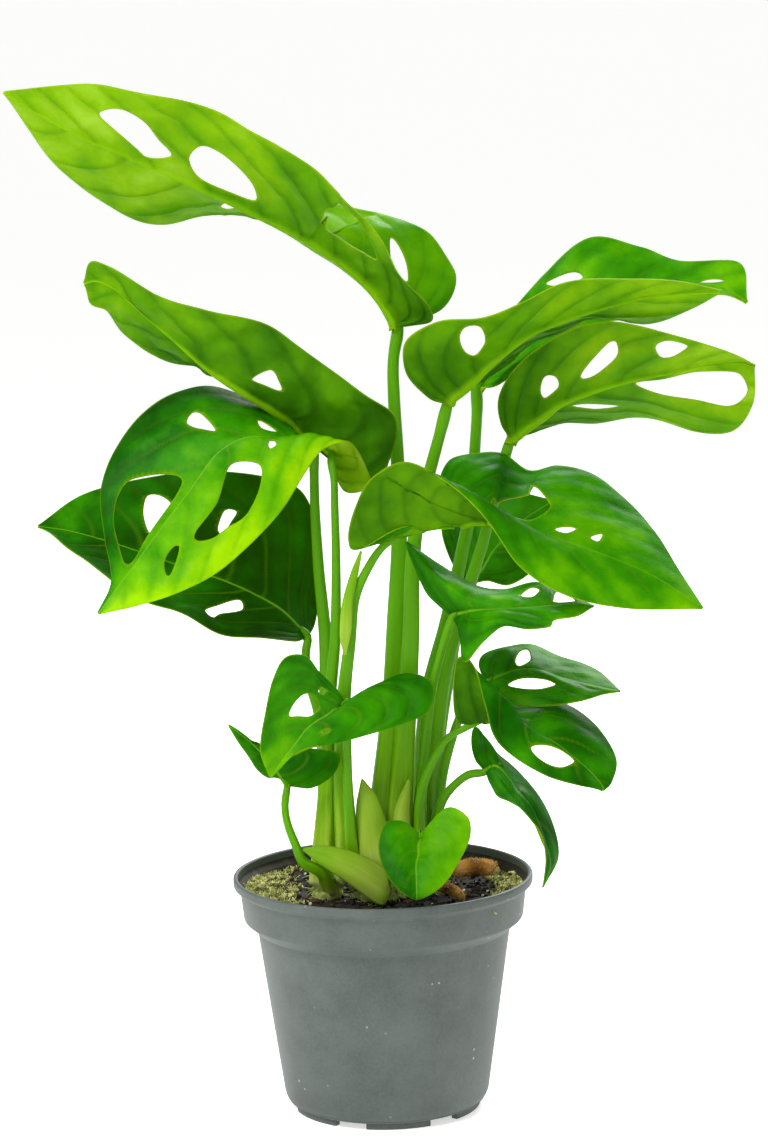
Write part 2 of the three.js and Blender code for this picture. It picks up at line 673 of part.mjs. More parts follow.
function potGeometry() {
  const edge = [0, 1, 2].map((i) => {
    const angle = (i * Math.PI) / 6;
    return [
      BASE_RADIUS - EDGE_ROUND * (1 - Math.sin(angle)),
      EDGE_TOP - EDGE_ROUND * Math.cos(angle),
    ];
  });
  const outside = [[0, FLOOR_LOW], ...edge, ...wallProfile(0)];
  const lip = [
    [LIP_RADIUS, POT_HEIGHT - LIP_HEIGHT],
    [LIP_RADIUS, POT_HEIGHT],
    [BAND_RADIUS - POT_WALL, POT_HEIGHT],
  ];
  const inside = [...wallProfile(POT_WALL).reverse(), [BASE_RADIUS - EDGE_ROUND, FLOOR_TOP], [0, FLOOR_TOP]];
  let pot = solid(lathe([...outside, ...lip, ...inside], POT_SIDES));

  const ringOuter = BASE_RADIUS - EDGE_ROUND + FOOT_RING_WIDTH / 2;
  const ringInner = ringOuter - FOOT_RING_WIDTH;
  const footTop = FLOOR_LOW + FLOOR_THICKNESS / 2;
  let ring = solid(cylinder(ringOuter, 0, footTop, 0, 0, POT_SIDES));
  ring = ring.subtract(solid(cylinder(ringInner, -1, footTop + 1, 0, 0, POT_SIDES)));
  for (let i = 0; i < FOOT_COUNT; i++) {
    const notch = new THREE.BoxGeometry(4 * FOOT_RING_WIDTH, FOOT_NOTCH_WIDTH, 2 * FOOT_HEIGHT);
    notch.translate(ringOuter, 0, 0);
    notch.rotateZ((i * FULL_TURN) / FOOT_COUNT + THREE.MathUtils.degToRad(FOOT_NOTCH_START));
    ring = ring.subtract(solid(notch));
  }
  pot = pot.add(ring).add(solid(cylinder(CENTRE_PAD_RADIUS, 0, footTop, 0, 0, SMALL_SIDES)));
  for (let i = 0; i < DRAIN_COUNT; i++) {
    const angle = (i * FULL_TURN) / DRAIN_COUNT;
    const x = DRAIN_CIRCLE_RADIUS * Math.cos(angle);
    const y = DRAIN_CIRCLE_RADIUS * Math.sin(angle);
    pot = pot.subtract(solid(cylinder(DRAIN_RADIUS, -1, FLOOR_TOP + 1, x, y, SMALL_SIDES)));
  }
  return geometryOf(pot);
}

// The radius of the pot's inside at a height.
function insideRadius(height) {
  const profile = wallProfile(POT_WALL);
  const i = Math.max(1, profile.findIndex(([, h]) => h >= height));
  const [r0, h0] = profile[i - 1];
  const [r1, h1] = profile[i];
  return r0 + ((r1 - r0) * (height - h0)) / (h1 - h0);
}

// Thicker petioles need more room, so the outer shoots' feet stand further out.
const SPREAD = 22; // millimetres for each doubling of the petioles
const SHEATH_STANDOFF = 8; // the sheaths stand further forward too, for each doubling
const sideShift = (side) => side * SPREAD * (PETIOLE_THICKENING - 1);
const footCentre = ([x, y], side) => [x + sideShift(side), y];

function soilGeometry() {
  const walls = wallProfile(POT_WALL + SOIL_CLEARANCE).filter(([, height]) => height < SOIL_LEVEL);
  const rim = insideRadius(SOIL_LEVEL) - SOIL_CLEARANCE;
  const bottom = FLOOR_TOP + SOIL_CLEARANCE;
  const profile = [
    [0, bottom],
    [BASE_RADIUS - EDGE_ROUND - SOIL_CLEARANCE, bottom],
    ...walls,
    [rim, SOIL_LEVEL],
    [0.6 * rim, SOIL_LEVEL + SOIL_MOUND / 2],
    [0, SOIL_LEVEL + SOIL_MOUND],
  ];
  let soil = solid(lathe(profile, POT_SIDES));
  for (const { centre, radius, side } of Object.values(FEET)) {
    const [x, y] = footCentre(centre, side).map((value) => value * PLANT_SCALE);
    const hole = radius * PLANT_SCALE * PETIOLE_THICKENING + ROOT_CLEARANCE;
    const low = SOIL_LEVEL - FOOT_DEPTH * PLANT_SCALE - ROOT_CLEARANCE;
    soil = soil.subtract(solid(cylinder(hole, low, POT_HEIGHT, x, y, SMALL_SIDES)));
  }
  return geometryOf(soil);
}

// ---- Blades

const toVectors = (points) => points.map((point) => new THREE.Vector3(...point));
const spline = (points) => new THREE.CatmullRomCurve3(toVectors(points), false, "catmullrom", 0.5);

function bladeCurves({ base, tip, stations }) {
  return [0, 1, 2].map((side) => spline([base, ...stations.map((s) => s[side]), tip]));
}

// The frame of a blade at u: midrib point, margins, and the blade's normal, which leans to the front.
function bladeFrame([left, midrib, right], u) {
  const inner = THREE.MathUtils.clamp(u, 0.03, 0.97);
  const along = midrib.getTangent(inner);
  const across = right.getPoint(inner).sub(left.getPoint(inner));
  const normal = new THREE.Vector3().crossVectors(along, across).normalize();
  if (normal.y > 0) normal.negate();
  const sideways = new THREE.Vector3().crossVectors(normal, along).normalize();
  if (sideways.dot(across) < 0) sideways.negate();
  return { left: left.getPoint(u), middle: midrib.getPoint(u), right: right.getPoint(u), normal, sideways };
}

// The point of a blade at u, v. Each half is a parabola from the midrib to the margin.
function bladePoint(curves, bulge, u, v) {
  const { left, middle, right, normal, sideways } = bladeFrame(curves, u);
  const margin = v < 0 ? left : right;
  const s = Math.abs(v);
  const swell = (v < 0 ? bulge[0] : bulge[1]) * Math.sin(Math.PI * u);
  const control = middle.clone().add(margin).multiplyScalar(0.5).addScaledVector(normal, swell);
  const point = middle.multiplyScalar((1 - s) * (1 - s));
  point.addScaledVector(control, 2 * s * (1 - s));
  point.addScaledVector(margin, s * s);
  return point.addScaledVector(sideways, (v * TIP_WIDTH) / 2);
}

function bladeNormal(curves, bulge, u, v) {
  const step = 0.02;
  const u0 = THREE.MathUtils.clamp(u, 0.04, 0.94);
  const v0 = THREE.MathUtils.clamp(v, -0.98, 0.96);
  const here = bladePoint(curves, bulge, u0, v0);
  const alongU = bladePoint(curves, bulge, u0 + step, v0).sub(here);
  const alongV = bladePoint(curves, bulge, u0, v0 + step).sub(here);
  return alongU.cross(alongV).normalize();
}

// A blade is cut flat, as a slightly domed sheet so that its facets stay, and is then bent into place.
const SHEET_LENGTH = 100;
const SHEET_HALF_WIDTH = 30;
const SHEET_DOME = 0.002;
const CUTTER_DEPTH = 60; // clears the sheet's dome on both sides

function bladeGeometry(leaf, thickness) {
  const curves = bladeCurves(leaf);
  const cellsAlong = Math.round(CELLS_PER_STATION * (leaf.stations.length + 1));
  const sheet = new THREE.BoxGeometry(
    SHEET_LENGTH,
    2 * SHEET_HALF_WIDTH,
    thickness,
    cellsAlong,
    2 * CELLS_ACROSS_HALF,
    1,
  );
  sheet.translate(SHEET_LENGTH / 2, 0, 0);
  const dome = (x, y) => SHEET_DOME * (x * x + y * y);
  const position = sheet.attributes.position;
  for (let i = 0; i < position.count; i++) {
    position.setZ(i, position.getZ(i) + dome(position.getX(i), position.getY(i)));
  }
  let blade = solid(sheet);
  for (const outline of leaf.windows) {
    const points = outline.map(([u, v]) => new THREE.Vector3(u * SHEET_LENGTH, v * SHEET_HALF_WIDTH, 0));
    const curve = new THREE.CatmullRomCurve3(points, true, "catmullrom", 0.5);
    const rim = curve.getPoints(2 * outline.length).map(({ x, y }) => new THREE.Vector2(x, y));
    const shape = new THREE.Shape(rim);
    const cutter = new THREE.ExtrudeGeometry(shape, { depth: CUTTER_DEPTH, bevelEnabled: false });
    cutter.translate(0, 0, -CUTTER_DEPTH / 4);
    blade = blade.subtract(solid(cutter));
  }
  const bent = blade.warp((vertex) => {
    const [x, y, z] = vertex;
    const u = THREE.MathUtils.clamp(x / SHEET_LENGTH, 0, 1);
    const v = THREE.MathUtils.clamp(y / SHEET_HALF_WIDTH, -1, 1);
    const offset = THREE.MathUtils.clamp(z - dome(x, y), -thickness / 2, thickness / 2);
    const point = bladePoint(curves, leaf.bulge, u, v);
    point.addScaledVector(bladeNormal(curves, leaf.bulge, u, v), offset);
    [vertex[0], vertex[1], vertex[2]] = [point.x, point.y, point.z];
  });
  const upright = bent.volume() < 0 ? mirrored(bent) : bent;
  return geometryOf(upright);
}

// A blade moved as a whole along Y.
function movedAlongY({ base, tip, stations, ...rest }, distance) {
  const move = ([x, y, z]) => [x, y + distance, z];
  return { base: move(base), tip: move(tip), stations: stations.map((s) => s.map(move)), ...rest };
}

// The same solid with its faces turned round, for a blade whose two sides swapped as it was bent.
function mirrored(manifold) {
  const mesh = manifold.getMesh();
  const triVerts = mesh.triVerts.slice();
  for (let i = 0; i < triVerts.length; i += 3) {
    [triVerts[i + 1], triVerts[i + 2]] = [triVerts[i + 2], triVerts[i + 1]];
  }
  const { numProp, vertProperties } = mesh;
  return new wasm.Manifold(new wasm.Mesh({ numProp, vertProperties, triVerts }));
}

// ---- Petioles and roots

// A round stalk along a route, with its radius given along it from 0 to 1.
function stalk(curve, radiusAt, segments, sides) {
  const frames = curve.computeFrenetFrames(segments, false);
  const geometry = new THREE.CylinderGeometry(1, 1, 1, sides, segments);
  const position = geometry.attributes.position;
  for (let i = 0; i < position.count; i++) {
    const t = THREE.MathUtils.clamp(position.getY(i) + 0.5, 0, 1);
    const ring = Math.round(t * segments);
    const radius = radiusAt(t);
    const point = curve.getPointAt(t);
    point.addScaledVector(frames.normals[ring], position.getX(i) * radius);
    point.addScaledVector(frames.binormals[ring], -position.getZ(i) * radius);
    position.setXYZ(i, point.x, point.y, point.z);
  }
  return geometry;
}

// The part of a curve that stops short of its end by a distance.
function shortened(curve, distance) {
  const length = curve.getLength();
  const count = Math.max(8, Math.round(length / 6));
  const points = [];
  for (let i = 0; i <= count; i++) points.push(curve.getPointAt((i / count) * (1 - distance / length)));
  return new THREE.CatmullRomCurve3(points, false, "catmullrom", 0.5);
}

const STALK_STEP = 13;

function petioleSolid(petiole, leafName, side) {
  const count = petiole.route.length;
  const routed = petiole.route.map(([x, y, z], i) => [x + sideShift(side) * (1 - i / count), y, z]);
  const all = spline([...routed, LEAVES[leafName].base]);
  const route = shortened(all, BLADE_GAP + BLADE_THICKNESS * PETIOLE_THICKENING);
  const segments = Math.max(6, Math.round(route.getLength() / STALK_STEP));
  const radiusAt = (t) =>
    PETIOLE_THICKENING * THREE.MathUtils.lerp(petiole.base_radius, petiole.tip_radius, t);
  return solid(stalk(route, radiusAt, segments, PETIOLE_SIDES));
}

function shootGeometry(petioles, { centre, radius, side }) {
  const [x, y] = footCentre(centre, side);
  const foot = new THREE.CylinderGeometry(
    radius * PETIOLE_THICKENING * CROWN_TAPER,
    radius * PETIOLE_THICKENING,
    CROWN_HEIGHT + FOOT_DEPTH,
    SMALL_SIDES,
  );
  foot.rotateX(Math.PI / 2);
  foot.translate(x, y, (CROWN_HEIGHT - FOOT_DEPTH) / 2);
  let shoot = solid(foot);
  for (const [leafName, petiole] of Object.entries(petioles)) {
    shoot = shoot.add(petioleSolid(petiole, leafName, side));
  }
  return geometryOf(shoot);
}

function rootGeometry({ radius, heading, wallGap }) {
  const foot = FEET.shoot_right;
  const [footX, footY] = footCentre(foot.centre, foot.side).map((value) => value * PLANT_SCALE);
  const angle = THREE.MathUtils.degToRad(heading);
  const [dx, dy] = [Math.cos(angle), Math.sin(angle)];
  const start = foot.radius * PETIOLE_THICKENING * PLANT_SCALE + ROOT_START_GAP;
  // The distance along the heading at which the root meets the circle that it stops at.
  const reach = insideRadius(SOIL_LEVEL) - wallGap;
  const towards = footX * dx + footY * dy;
  const end = -towards + Math.sqrt(towards * towards + reach * reach - footX * footX - footY * footY);
  const height = SOIL_LEVEL + SOIL_MOUND + ROOT_LIFT + radius;
  const route = [0, 0.35, 0.7, 1].map((t) => {
    const distance = THREE.MathUtils.lerp(start, end, t);
    return [footX + distance * dx, footY + distance * dy, height - ROOT_BOW * (2 * t - 1) ** 2];
  });
  const radiusAt = (t) => radius * THREE.MathUtils.lerp(ROOT_END_SHARE, 1, Math.sin(Math.PI * t));
  return stalk(spline(route), radiusAt, 6, PETIOLE_SIDES);
}

// ---- The part

const part = new THREE.Group();
part.name = "potted_monstera";
addPart(part, "pot", potGeometry(), COLOURS.pot, 0.5);
addPart(part, "soil", soilGeometry(), COLOURS.soil, 0.95);

const plant = new THREE.Group();
plant.position.z = SOIL_LEVEL;
plant.scale.setScalar(PLANT_SCALE);
part.add(plant);

for (const [name, petioles] of Object.entries(SHOOTS)) {
  addPart(plant, name, shootGeometry(petioles, FEET[name]), COLOURS.petiole, 0.45);
}
for (const [name, sheath] of Object.entries(SHEATHS)) {
  const stand = -SHEATH_STANDOFF * (PETIOLE_THICKENING - 1);
  addPart(plant, name, bladeGeometry(movedAlongY(sheath, stand), BLADE_THICKNESS), COLOURS.sheath, 0.5);
}
const PALE = ["leaf_high_left", "leaf_curled_left", "leaf_folded_right", "leaf_wide_right"];
const DARK = ["leaf_dark_left", "leaf_dark_middle", "leaf_dark_right_low", "leaf_drooping_right"];
for (const [name, leaf] of Object.entries(LEAVES)) {
  const shade = DARK.includes(name) ? COLOURS.blade_dark : COLOURS.blade;
  const colour = PALE.includes(name) ? COLOURS.blade_pale : shade;
  addPart(plant, name, bladeGeometry(leaf, BLADE_THICKNESS), colour, 0.4);
}
for (const [name, root] of Object.entries(ROOTS)) {
  addPart(part, name, rootGeometry(root), COLOURS.root, 0.9);
}

export default part;
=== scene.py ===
# %% [markdown]
# # A young window-leaf monstera in a nursery pot
# The plant has three shoots in one pot. Each leaf stalk, or petiole, carries one blade with a few
# natural windows. A blade is thin living tissue, so most of its look is in its bends, its sunken
# veins and the light that comes through it. The lesson makes the helpers first, then the finishes,
# then the pot, the soil and the growth, and last the soft light and the camera.
# The pieces are modelled in millimetres and turned to metres in one place; the floor's curve, the
# lights and the camera come last.

import math
import random

import bmesh
import bpy
import numpy as np
from mathutils import Matrix, Vector, noise


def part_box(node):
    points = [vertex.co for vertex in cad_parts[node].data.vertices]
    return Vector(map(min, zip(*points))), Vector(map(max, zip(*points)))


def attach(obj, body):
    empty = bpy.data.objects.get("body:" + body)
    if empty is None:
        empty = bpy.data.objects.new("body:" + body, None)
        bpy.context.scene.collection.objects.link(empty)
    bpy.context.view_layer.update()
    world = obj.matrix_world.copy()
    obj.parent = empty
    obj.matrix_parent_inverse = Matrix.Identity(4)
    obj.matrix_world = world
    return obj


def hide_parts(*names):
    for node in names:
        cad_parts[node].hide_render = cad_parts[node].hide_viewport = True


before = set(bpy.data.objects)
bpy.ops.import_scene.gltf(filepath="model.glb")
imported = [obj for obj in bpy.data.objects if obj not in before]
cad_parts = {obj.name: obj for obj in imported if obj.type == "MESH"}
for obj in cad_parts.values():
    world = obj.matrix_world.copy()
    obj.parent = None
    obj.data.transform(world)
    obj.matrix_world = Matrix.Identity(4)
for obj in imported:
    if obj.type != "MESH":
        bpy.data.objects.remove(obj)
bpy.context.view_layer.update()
MM = 0.001
random.seed(11)

# %% [markdown]
# ## Helpers
# Every piece starts as a bmesh in millimetres. One helper turns it to metres, hands it its
# materials, lets it ride on the part's body and hides the plain solid it stands for.
# A curve that passes through its points, a Catmull-Rom curve, is used for margins, midribs and
# petioles, because a grower's eye reads a leaf as a few points joined by even bends.

# %% From a bmesh to a finished piece
def finish_piece(name, bm, materials, stands_for=()):
    bmesh.ops.scale(bm, vec=(MM, MM, MM), verts=bm.verts)
    mesh = bpy.data.meshes.new(name)
    bm.to_mesh(mesh)
    bm.free()
    for material in materials:
        mesh.materials.append(material)
    mesh.shade_smooth()
    piece = bpy.data.objects.new(name, mesh)
    bpy.context.scene.collection.objects.link(piece)
    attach(piece, "root")
    if stands_for:
        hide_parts(*stands_for)
    print(f"{name}: {len(mesh.polygons)} faces")
    return piece


# %% Curves through points
def through(points, t):
    """Places on the curve through points, for an array of t from 0 to 1."""
    p = np.array(points, float)
    p = np.vstack([2 * p[0] - p[1], p, 2 * p[-1] - p[-2]])
    steps = len(points) - 1
    s = np.clip(np.asarray(t, float), 0, 1) * steps
    i = np.minimum(s.astype(int), steps - 1)
    s = (s - i)[:, None]
    a, b, c, d = p[i], p[i + 1], p[i + 2], p[i + 3]
    return 0.5 * (2 * b + (c - a) * s + (2 * a - 5 * b + 4 * c - d) * s**2 + (3 * b - a - 3 * c + d) * s**3)


def evenly(points, count):
    """count places at equal distances along the curve through points, and the curve's length."""
    fine = through(points, np.linspace(0, 1, 400))
    walked = np.concatenate([[0], np.cumsum(np.linalg.norm(np.diff(fine, axis=0), axis=1))])
    marks = np.linspace(0, walked[-1], count)
    return np.stack([np.interp(marks, walked, fine[:, k]) for k in range(3)], axis=1), walked[-1]


def unit(vectors):
    return vectors / np.maximum(np.linalg.norm(vectors, axis=-1, keepdims=True), 1e-9)


def cloud(places, size, seed=0):
    """Smooth noise from -1 to 1 at each place, with lumps of about size millimetres."""
    shift = Vector((seed * 7.3, seed * 3.1, seed * 5.7))
    return np.array([noise.noise(Vector(p) / size + shift) for p in places])


half_turn = evenly([(math.cos(a), math.sin(a), 0) for a in np.linspace(0, math.pi, 5)], 2)[1]
print("a half turn of radius 1 measures", round(half_turn, 3), "along a curve through 5 points")

# %% [markdown]
# ## Finishes
# Colours are written as the sRGB hex values that a paint program shows, and one function turns them
# to the linear values that the shaders need. One small function adds a node with its settings and
# links, so each finish below reads as a list of what it is made of.

# %% Colour and node helpers
def srgb(code):
    """Linear colour of an sRGB hex code."""
    parts = [int(code[i : i + 2], 16) / 255 for i in (1, 3, 5)]
    return (*[c / 12.92 if c <= 0.04045 else ((c + 0.055) / 1.055) ** 2.4 for c in parts], 1)


def add(tree, kind, inputs=None, **settings):
    """Adds a node; an input is a value, or another node's output to link."""
    made = tree.nodes.new("ShaderNode" + kind)
    for name, value in settings.items():
        setattr(made, name, value)
    for name, value in (inputs or {}).items():
        if isinstance(value, bpy.types.NodeSocket):
            tree.links.new(value, made.inputs[name])
        else:
            made.inputs[name].default_value = value
    return made


def colours_along(ramp, stops):
    """Sets a colour ramp's stops from (place, hex) pairs."""
    elements = ramp.color_ramp.elements
    while len(elements) < len(stops):
        elements.new(1)
    for element, (place, code) in zip(elements, stops):
        element.position = place
        element.color = srgb(code)


def new_finish(name):
    material = bpy.data.materials.new(name)
    material.use_nodes = True
    material.node_tree.nodes.clear()
    return material, material.node_tree


def close_finish(tree, shader):
    add(tree, "OutputMaterial", {"Surface": shader})


print("mid grey #808080 is", round(srgb("#808080")[0], 3), "in linear light")

# %% [markdown]
# ### Leaf skin
# A monstera blade has a waxy cuticle over green cells. Wax reflects like most plant matter, with an
# IOR near 1.45; above, it is smooth and glossy, beneath it is duller and paler, as air spaces in
# the tissue scatter the light. The blade also lets light through as yellow-green, so a translucent
# shader is mixed in. The colour is read from attributes that the blades carry: vein, rib, rim and
# tone, which runs from dark to bright and holds painted light and shade besides the tissue's colour.
# That keeps the pattern on the surface, however a blade bends.

# %% Tissue that light passes through
TISSUE_IOR = 1.45


def end_as_tissue(tree, colour, light, roughness, specular, normal, share_through):
    """Closes a finish with a waxed skin that lets a share of the light through."""
    skin = add(
        tree,
        "BsdfPrincipled",
        {
            "Base Color": colour,
            "Roughness": roughness,
            "IOR": TISSUE_IOR,
            "Specular IOR Level": specular,
            "Normal": normal,
        },
    )
    glow = add(tree, "BsdfTranslucent", {"Color": light})
    blend = add(tree, "MixShader", {"Fac": share_through, 1: skin.outputs[0], 2: glow.outputs[0]})
    close_finish(tree, blend.outputs[0])


print("leaf tissue bends light by an IOR of", TISSUE_IOR)

# %% The leaf skins
MOTTLE_SCALE, NET_SCALE = 160, 620  # per metre: mottling of 6 mm, and veins 1.6 mm apart


def leaf_skin(
    name, tones, vein, rib, rib_from, rim, through_colour, roughness, share_through, specular
):
    """rib_from is how far out on the midrib's soft edge its own colour starts."""
    material, tree = new_finish(name)
    place = add(tree, "TexCoord").outputs["Object"]
    tone, veins, ribs, edge = (
        add(tree, "Attribute", attribute_name=key).outputs["Fac"] for key in ("tone", "vein", "rib", "rim")
    )
    # The mottling is as large as the fields between the smallest veins that the eye sees.
    mottle = add(
        tree, "TexNoise", {"Vector": place, "Scale": MOTTLE_SCALE, "Detail": 4, "Roughness": 0.6}
    )
    shift = add(tree, "Math", {0: mottle.outputs["Fac"], 1: 0.5}, operation="SUBTRACT")
    mixed = add(tree, "Math", {0: shift.outputs[0], 1: 0.4, 2: tone}, operation="MULTIPLY_ADD")
    ramp = add(tree, "ValToRGB", {"Fac": mixed.outputs[0]})
    colours_along(ramp, tones)
    rib_share = add(tree, "MapRange", {"Value": ribs, 1: rib_from, 2: 1.0, 3: 0.0, 4: 0.8})
    colour = ramp.outputs["Color"]
    for share, code in ((veins, vein), (rib_share.outputs[0], rib), (edge, rim)):
        colour = add(tree, "Mix", {0: share, 6: colour, 7: srgb(code)}, data_type="RGBA").outputs[2]
    # The net of the finest veins gives the sheen its slight grain.
    net = add(tree, "TexVoronoi", {"Vector": place, "Scale": NET_SCALE}, feature="DISTANCE_TO_EDGE")
    quilt = add(tree, "Bump", {"Strength": 0.3, "Distance": 0.0012, "Height": mottle.outputs["Fac"]})
    grain = add(
        tree, "Bump",
        {
            "Strength": 0.2, "Distance": 0.0004,
            "Height": net.outputs["Distance"], "Normal": quilt.outputs["Normal"],
        },
    )
    light = add(tree, "Mix", {0: 0.45, 6: colour, 7: srgb(through_colour)}, data_type="RGBA")
    end_as_tissue(
        tree, colour, light.outputs[2], roughness, specular, grain.outputs["Normal"], share_through
    )
    return material


upper_skin = leaf_skin(
    "glossy_leaf_cuticle",
    [(0.0, "#063a00"), (0.25, "#146400"), (0.5, "#379000"), (0.75, "#69b400"), (1.0, "#a0d600")],
    "#78b41a", "#84be28", 0.75, "#8fb800", "#a4e000", 0.44, 0.32, 0.06,
)
# The blades whose underside shows wear a brighter copy of the upper skin on their upper side: painted
# light, for the light that comes through where that side turns to view. It is a little rougher, so it
# shines less.
lit_upper_skin = leaf_skin(
    "glossy_cuticle_painted_light",
    [(0.0, "#2c7800"), (0.25, "#479200"), (0.5, "#62a600"), (0.75, "#82be00"), (1.0, "#a0d600")],
    "#86bc1e", "#8cc42c", 0.75, "#98c000", "#a8e000", 0.46, 0.34, 0.06,
)
under_skin = leaf_skin(
    "matt_leaf_underside",
    [(0.0, "#215200"), (0.25, "#3a7200"), (0.5, "#5c9600"), (0.75, "#86b200"), (1.0, "#a6c63a")],
    "#1c4a00", "#8cc400", 0.2, "#a2bf10", "#b0e000", 0.58, 0.36, 0.08,
)
rim_skin = leaf_skin(
    "pale_leaf_margin",
    [(0.0, "#467a04"), (0.25, "#5e8e08"), (0.5, "#7ca60a"), (0.75, "#98ba14"), (1.0, "#a8c828")],
    "#7ca60a", "#86b80c", 0.2, "#a2bf10", "#c0e000", 0.5, 0.3, 0.15,
)
print("leaf skins:", upper_skin.name, lit_upper_skin.name, under_skin.name, rim_skin.name)

# %% [markdown]
# ### Stalk skin, soil and plastic
# A petiole is firm green tissue with long fibres under a thin wax: satin rather than glossy, and
# pale at the foot where no light reaches. The sheaths are the same tissue dried to a thin wrap.
# Peat is matt and nearly black when it is damp. The pot is injection-moulded polypropylene with
# recycled grey pigment: IOR 1.49, satin from the mould's fine texture, with small pale specks.

# %% The stalk, sheath and root skins
FIBRE_SPECULAR = 0.18


def fibre_skin(name, tones, light, roughness, share_through, bump):
    material, tree = new_finish(name)
    along = add(tree, "UVMap", uv_map="UVMap").outputs["UV"]
    tone = add(tree, "Attribute", attribute_name="tone").outputs["Fac"]
    # The UV is in millimetres, across and along: fibres are about 0.7 mm wide and 25 mm long.
    stretched = add(tree, "Mapping", {"Vector": along, "Scale": (1.4, 0.04, 1)})
    fibres = add(tree, "TexNoise", {"Vector": stretched.outputs[0], "Scale": 1, "Detail": 3})
    shift = add(tree, "Math", {0: fibres.outputs["Fac"], 1: 0.5}, operation="SUBTRACT")
    mixed = add(tree, "Math", {0: shift.outputs[0], 1: 0.5, 2: tone}, operation="MULTIPLY_ADD")
    ramp = add(tree, "ValToRGB", {"Fac": mixed.outputs[0]})
    colours_along(ramp, tones)
    ridges = add(tree, "Bump", {"Strength": bump, "Distance": 0.0004, "Height": fibres.outputs["Fac"]})
    end_as_tissue(
        tree, ramp.outputs["Color"], srgb(light), roughness, FIBRE_SPECULAR, ridges.outputs["Normal"],
        share_through,
    )
    return material


stalk_skin = fibre_skin(
    "satin_petiole",
    [(0.0, "#d2dc84"), (0.14, "#a8c834"), (0.36, "#78b000"), (0.62, "#5c9e00"), (1.0, "#468a00")],
    "#a8dc00", 0.42, 0.24, 0.25,
)
sheath_skin = fibre_skin(
    "papery_sheath",
    [(0.0, "#cfd08c"), (0.3, "#a6c040"), (0.6, "#7aab12"), (1.0, "#4c8c02")],
    "#b4dc14", 0.5, 0.32, 0.4,
)
root_skin = fibre_skin(
    "corky_aerial_root",
    [(0.0, "#5e3c1a"), (0.35, "#946426"), (0.7, "#bc8c4a"), (1.0, "#d2ac6c")],
    "#8a6838", 0.9, 0.0, 0.9,
)
print("fibre skins:", stalk_skin.name, sheath_skin.name, root_skin.name)


# %% The pot's plastic and the loose stuff in the pot
def moulded_plastic():
    material, tree = new_finish("satin_moulded_polypropylene")
    place = add(tree, "TexCoord").outputs["Object"]
    cloudy = add(tree, "TexNoise", {"Vector": place, "Scale": 38, "Detail": 5, "Roughness": 0.65})
    texture = add(tree, "TexNoise", {"Vector": place, "Scale": 900, "Detail": 2})
    grainy = add(tree, "Math", {0: texture.outputs["Fac"], 1: 0.5}, operation="SUBTRACT")
    uneven = add(
        tree, "Math", {0: grainy.outputs[0], 1: 0.35, 2: cloudy.outputs["Fac"]}, operation="MULTIPLY_ADD"
    )
    base = add(tree, "ValToRGB", {"Fac": uneven.outputs[0]})
    colours_along(base, [(0.3, "#4a514d"), (0.7, "#5c635f")])
    # Flakes of unmelted pigment, about 1 mm across and far apart.
    flakes = add(tree, "TexVoronoi", {"Vector": place, "Scale": 260, "Randomness": 1.0})
    chance = add(tree, "TexNoise", {"Vector": place, "Scale": 90, "Detail": 2})
    small = add(tree, "MapRange", {"Value": flakes.outputs["Distance"], 1: 0.10, 2: 0.17, 3: 1, 4: 0})
    rare = add(tree, "MapRange", {"Value": chance.outputs["Fac"], 1: 0.6, 2: 0.66})
    speck = add(tree, "Math", {0: small.outputs[0], 1: rare.outputs[0]}, operation="MULTIPLY")
    colour = add(
        tree, "Mix", {0: speck.outputs[0], 6: base.outputs["Color"], 7: srgb("#9c9e90")}, data_type="RGBA"
    )
    grain = add(tree, "Bump", {"Strength": 0.16, "Distance": 0.0003, "Height": texture.outputs["Fac"]})
    gloss = add(tree, "MapRange", {"Value": cloudy.outputs["Fac"], 3: 0.44, 4: 0.58})
    skin = add(
        tree,
        "BsdfPrincipled",
        {
            "Base Color": colour.outputs[2],
            "Roughness": gloss.outputs[0],
            "IOR": 1.49,
            "Specular IOR Level": 0.22,
            "Normal": grain.outputs["Normal"],
        },
    )
    close_finish(tree, skin.outputs[0])
    return material


def loose_matter(name, stops, scale, roughness=0.95):
    material, tree = new_finish(name)
    place = add(tree, "TexCoord").outputs["Object"]
    patches = add(tree, "TexNoise", {"Vector": place, "Scale": scale, "Detail": 6, "Roughness": 0.7})
    ramp = add(tree, "ValToRGB", {"Fac": patches.outputs["Fac"]})
    colours_along(ramp, stops)
    rough = add(tree, "Bump", {"Strength": 0.6, "Distance": 0.0006, "Height": patches.outputs["Fac"]})
    skin = add(
        tree,
        "BsdfPrincipled",
        {"Base Color": ramp.outputs["Color"], "Roughness": roughness, "Normal": rough.outputs["Normal"]},
    )
    close_finish(tree, skin.outputs[0])
    return material


pot_plastic = moulded_plastic()
# A near-black brown finish for the inner wall: painted shade inside the pot.
inner_wall_shade = loose_matter(
    "inner_wall_painted_shade", [(0.35, "#15120b"), (0.55, "#2b2618"), (0.75, "#4a4a40")], 160, 0.8
)
peat = loose_matter("damp_peat", [(0.35, "#080502"), (0.52, "#170f06"), (0.7, "#33260f")], 300)
bark = loose_matter("composted_bark", [(0.35, "#1e1206"), (0.65, "#5a3f1c")], 240)
moss = loose_matter("dry_moss", [(0.38, "#3a3c0e"), (0.5, "#8c8f40"), (0.6, "#d8d696")], 330)
perlite = loose_matter("perlite", [(0.3, "#b8b39c"), (0.7, "#e6e2d2")], 500)
print("pot and soil finishes:", pot_plastic.name, peat.name, bark.name, moss.name, perlite.name)

# %% [markdown]
# ## The pot
# A nursery pot is one thin moulded shell: a tapering body, a wider band that stiffens the top, a
# small lip, a rounded bottom edge, low feet and drain holes. It could be lofted or turned; turning
# a thin profile about the axis is how its mould is cut, so the profile's corners are rounded first
# and then spun. The feet are short arcs, spun from a square, and the holes are cut last.

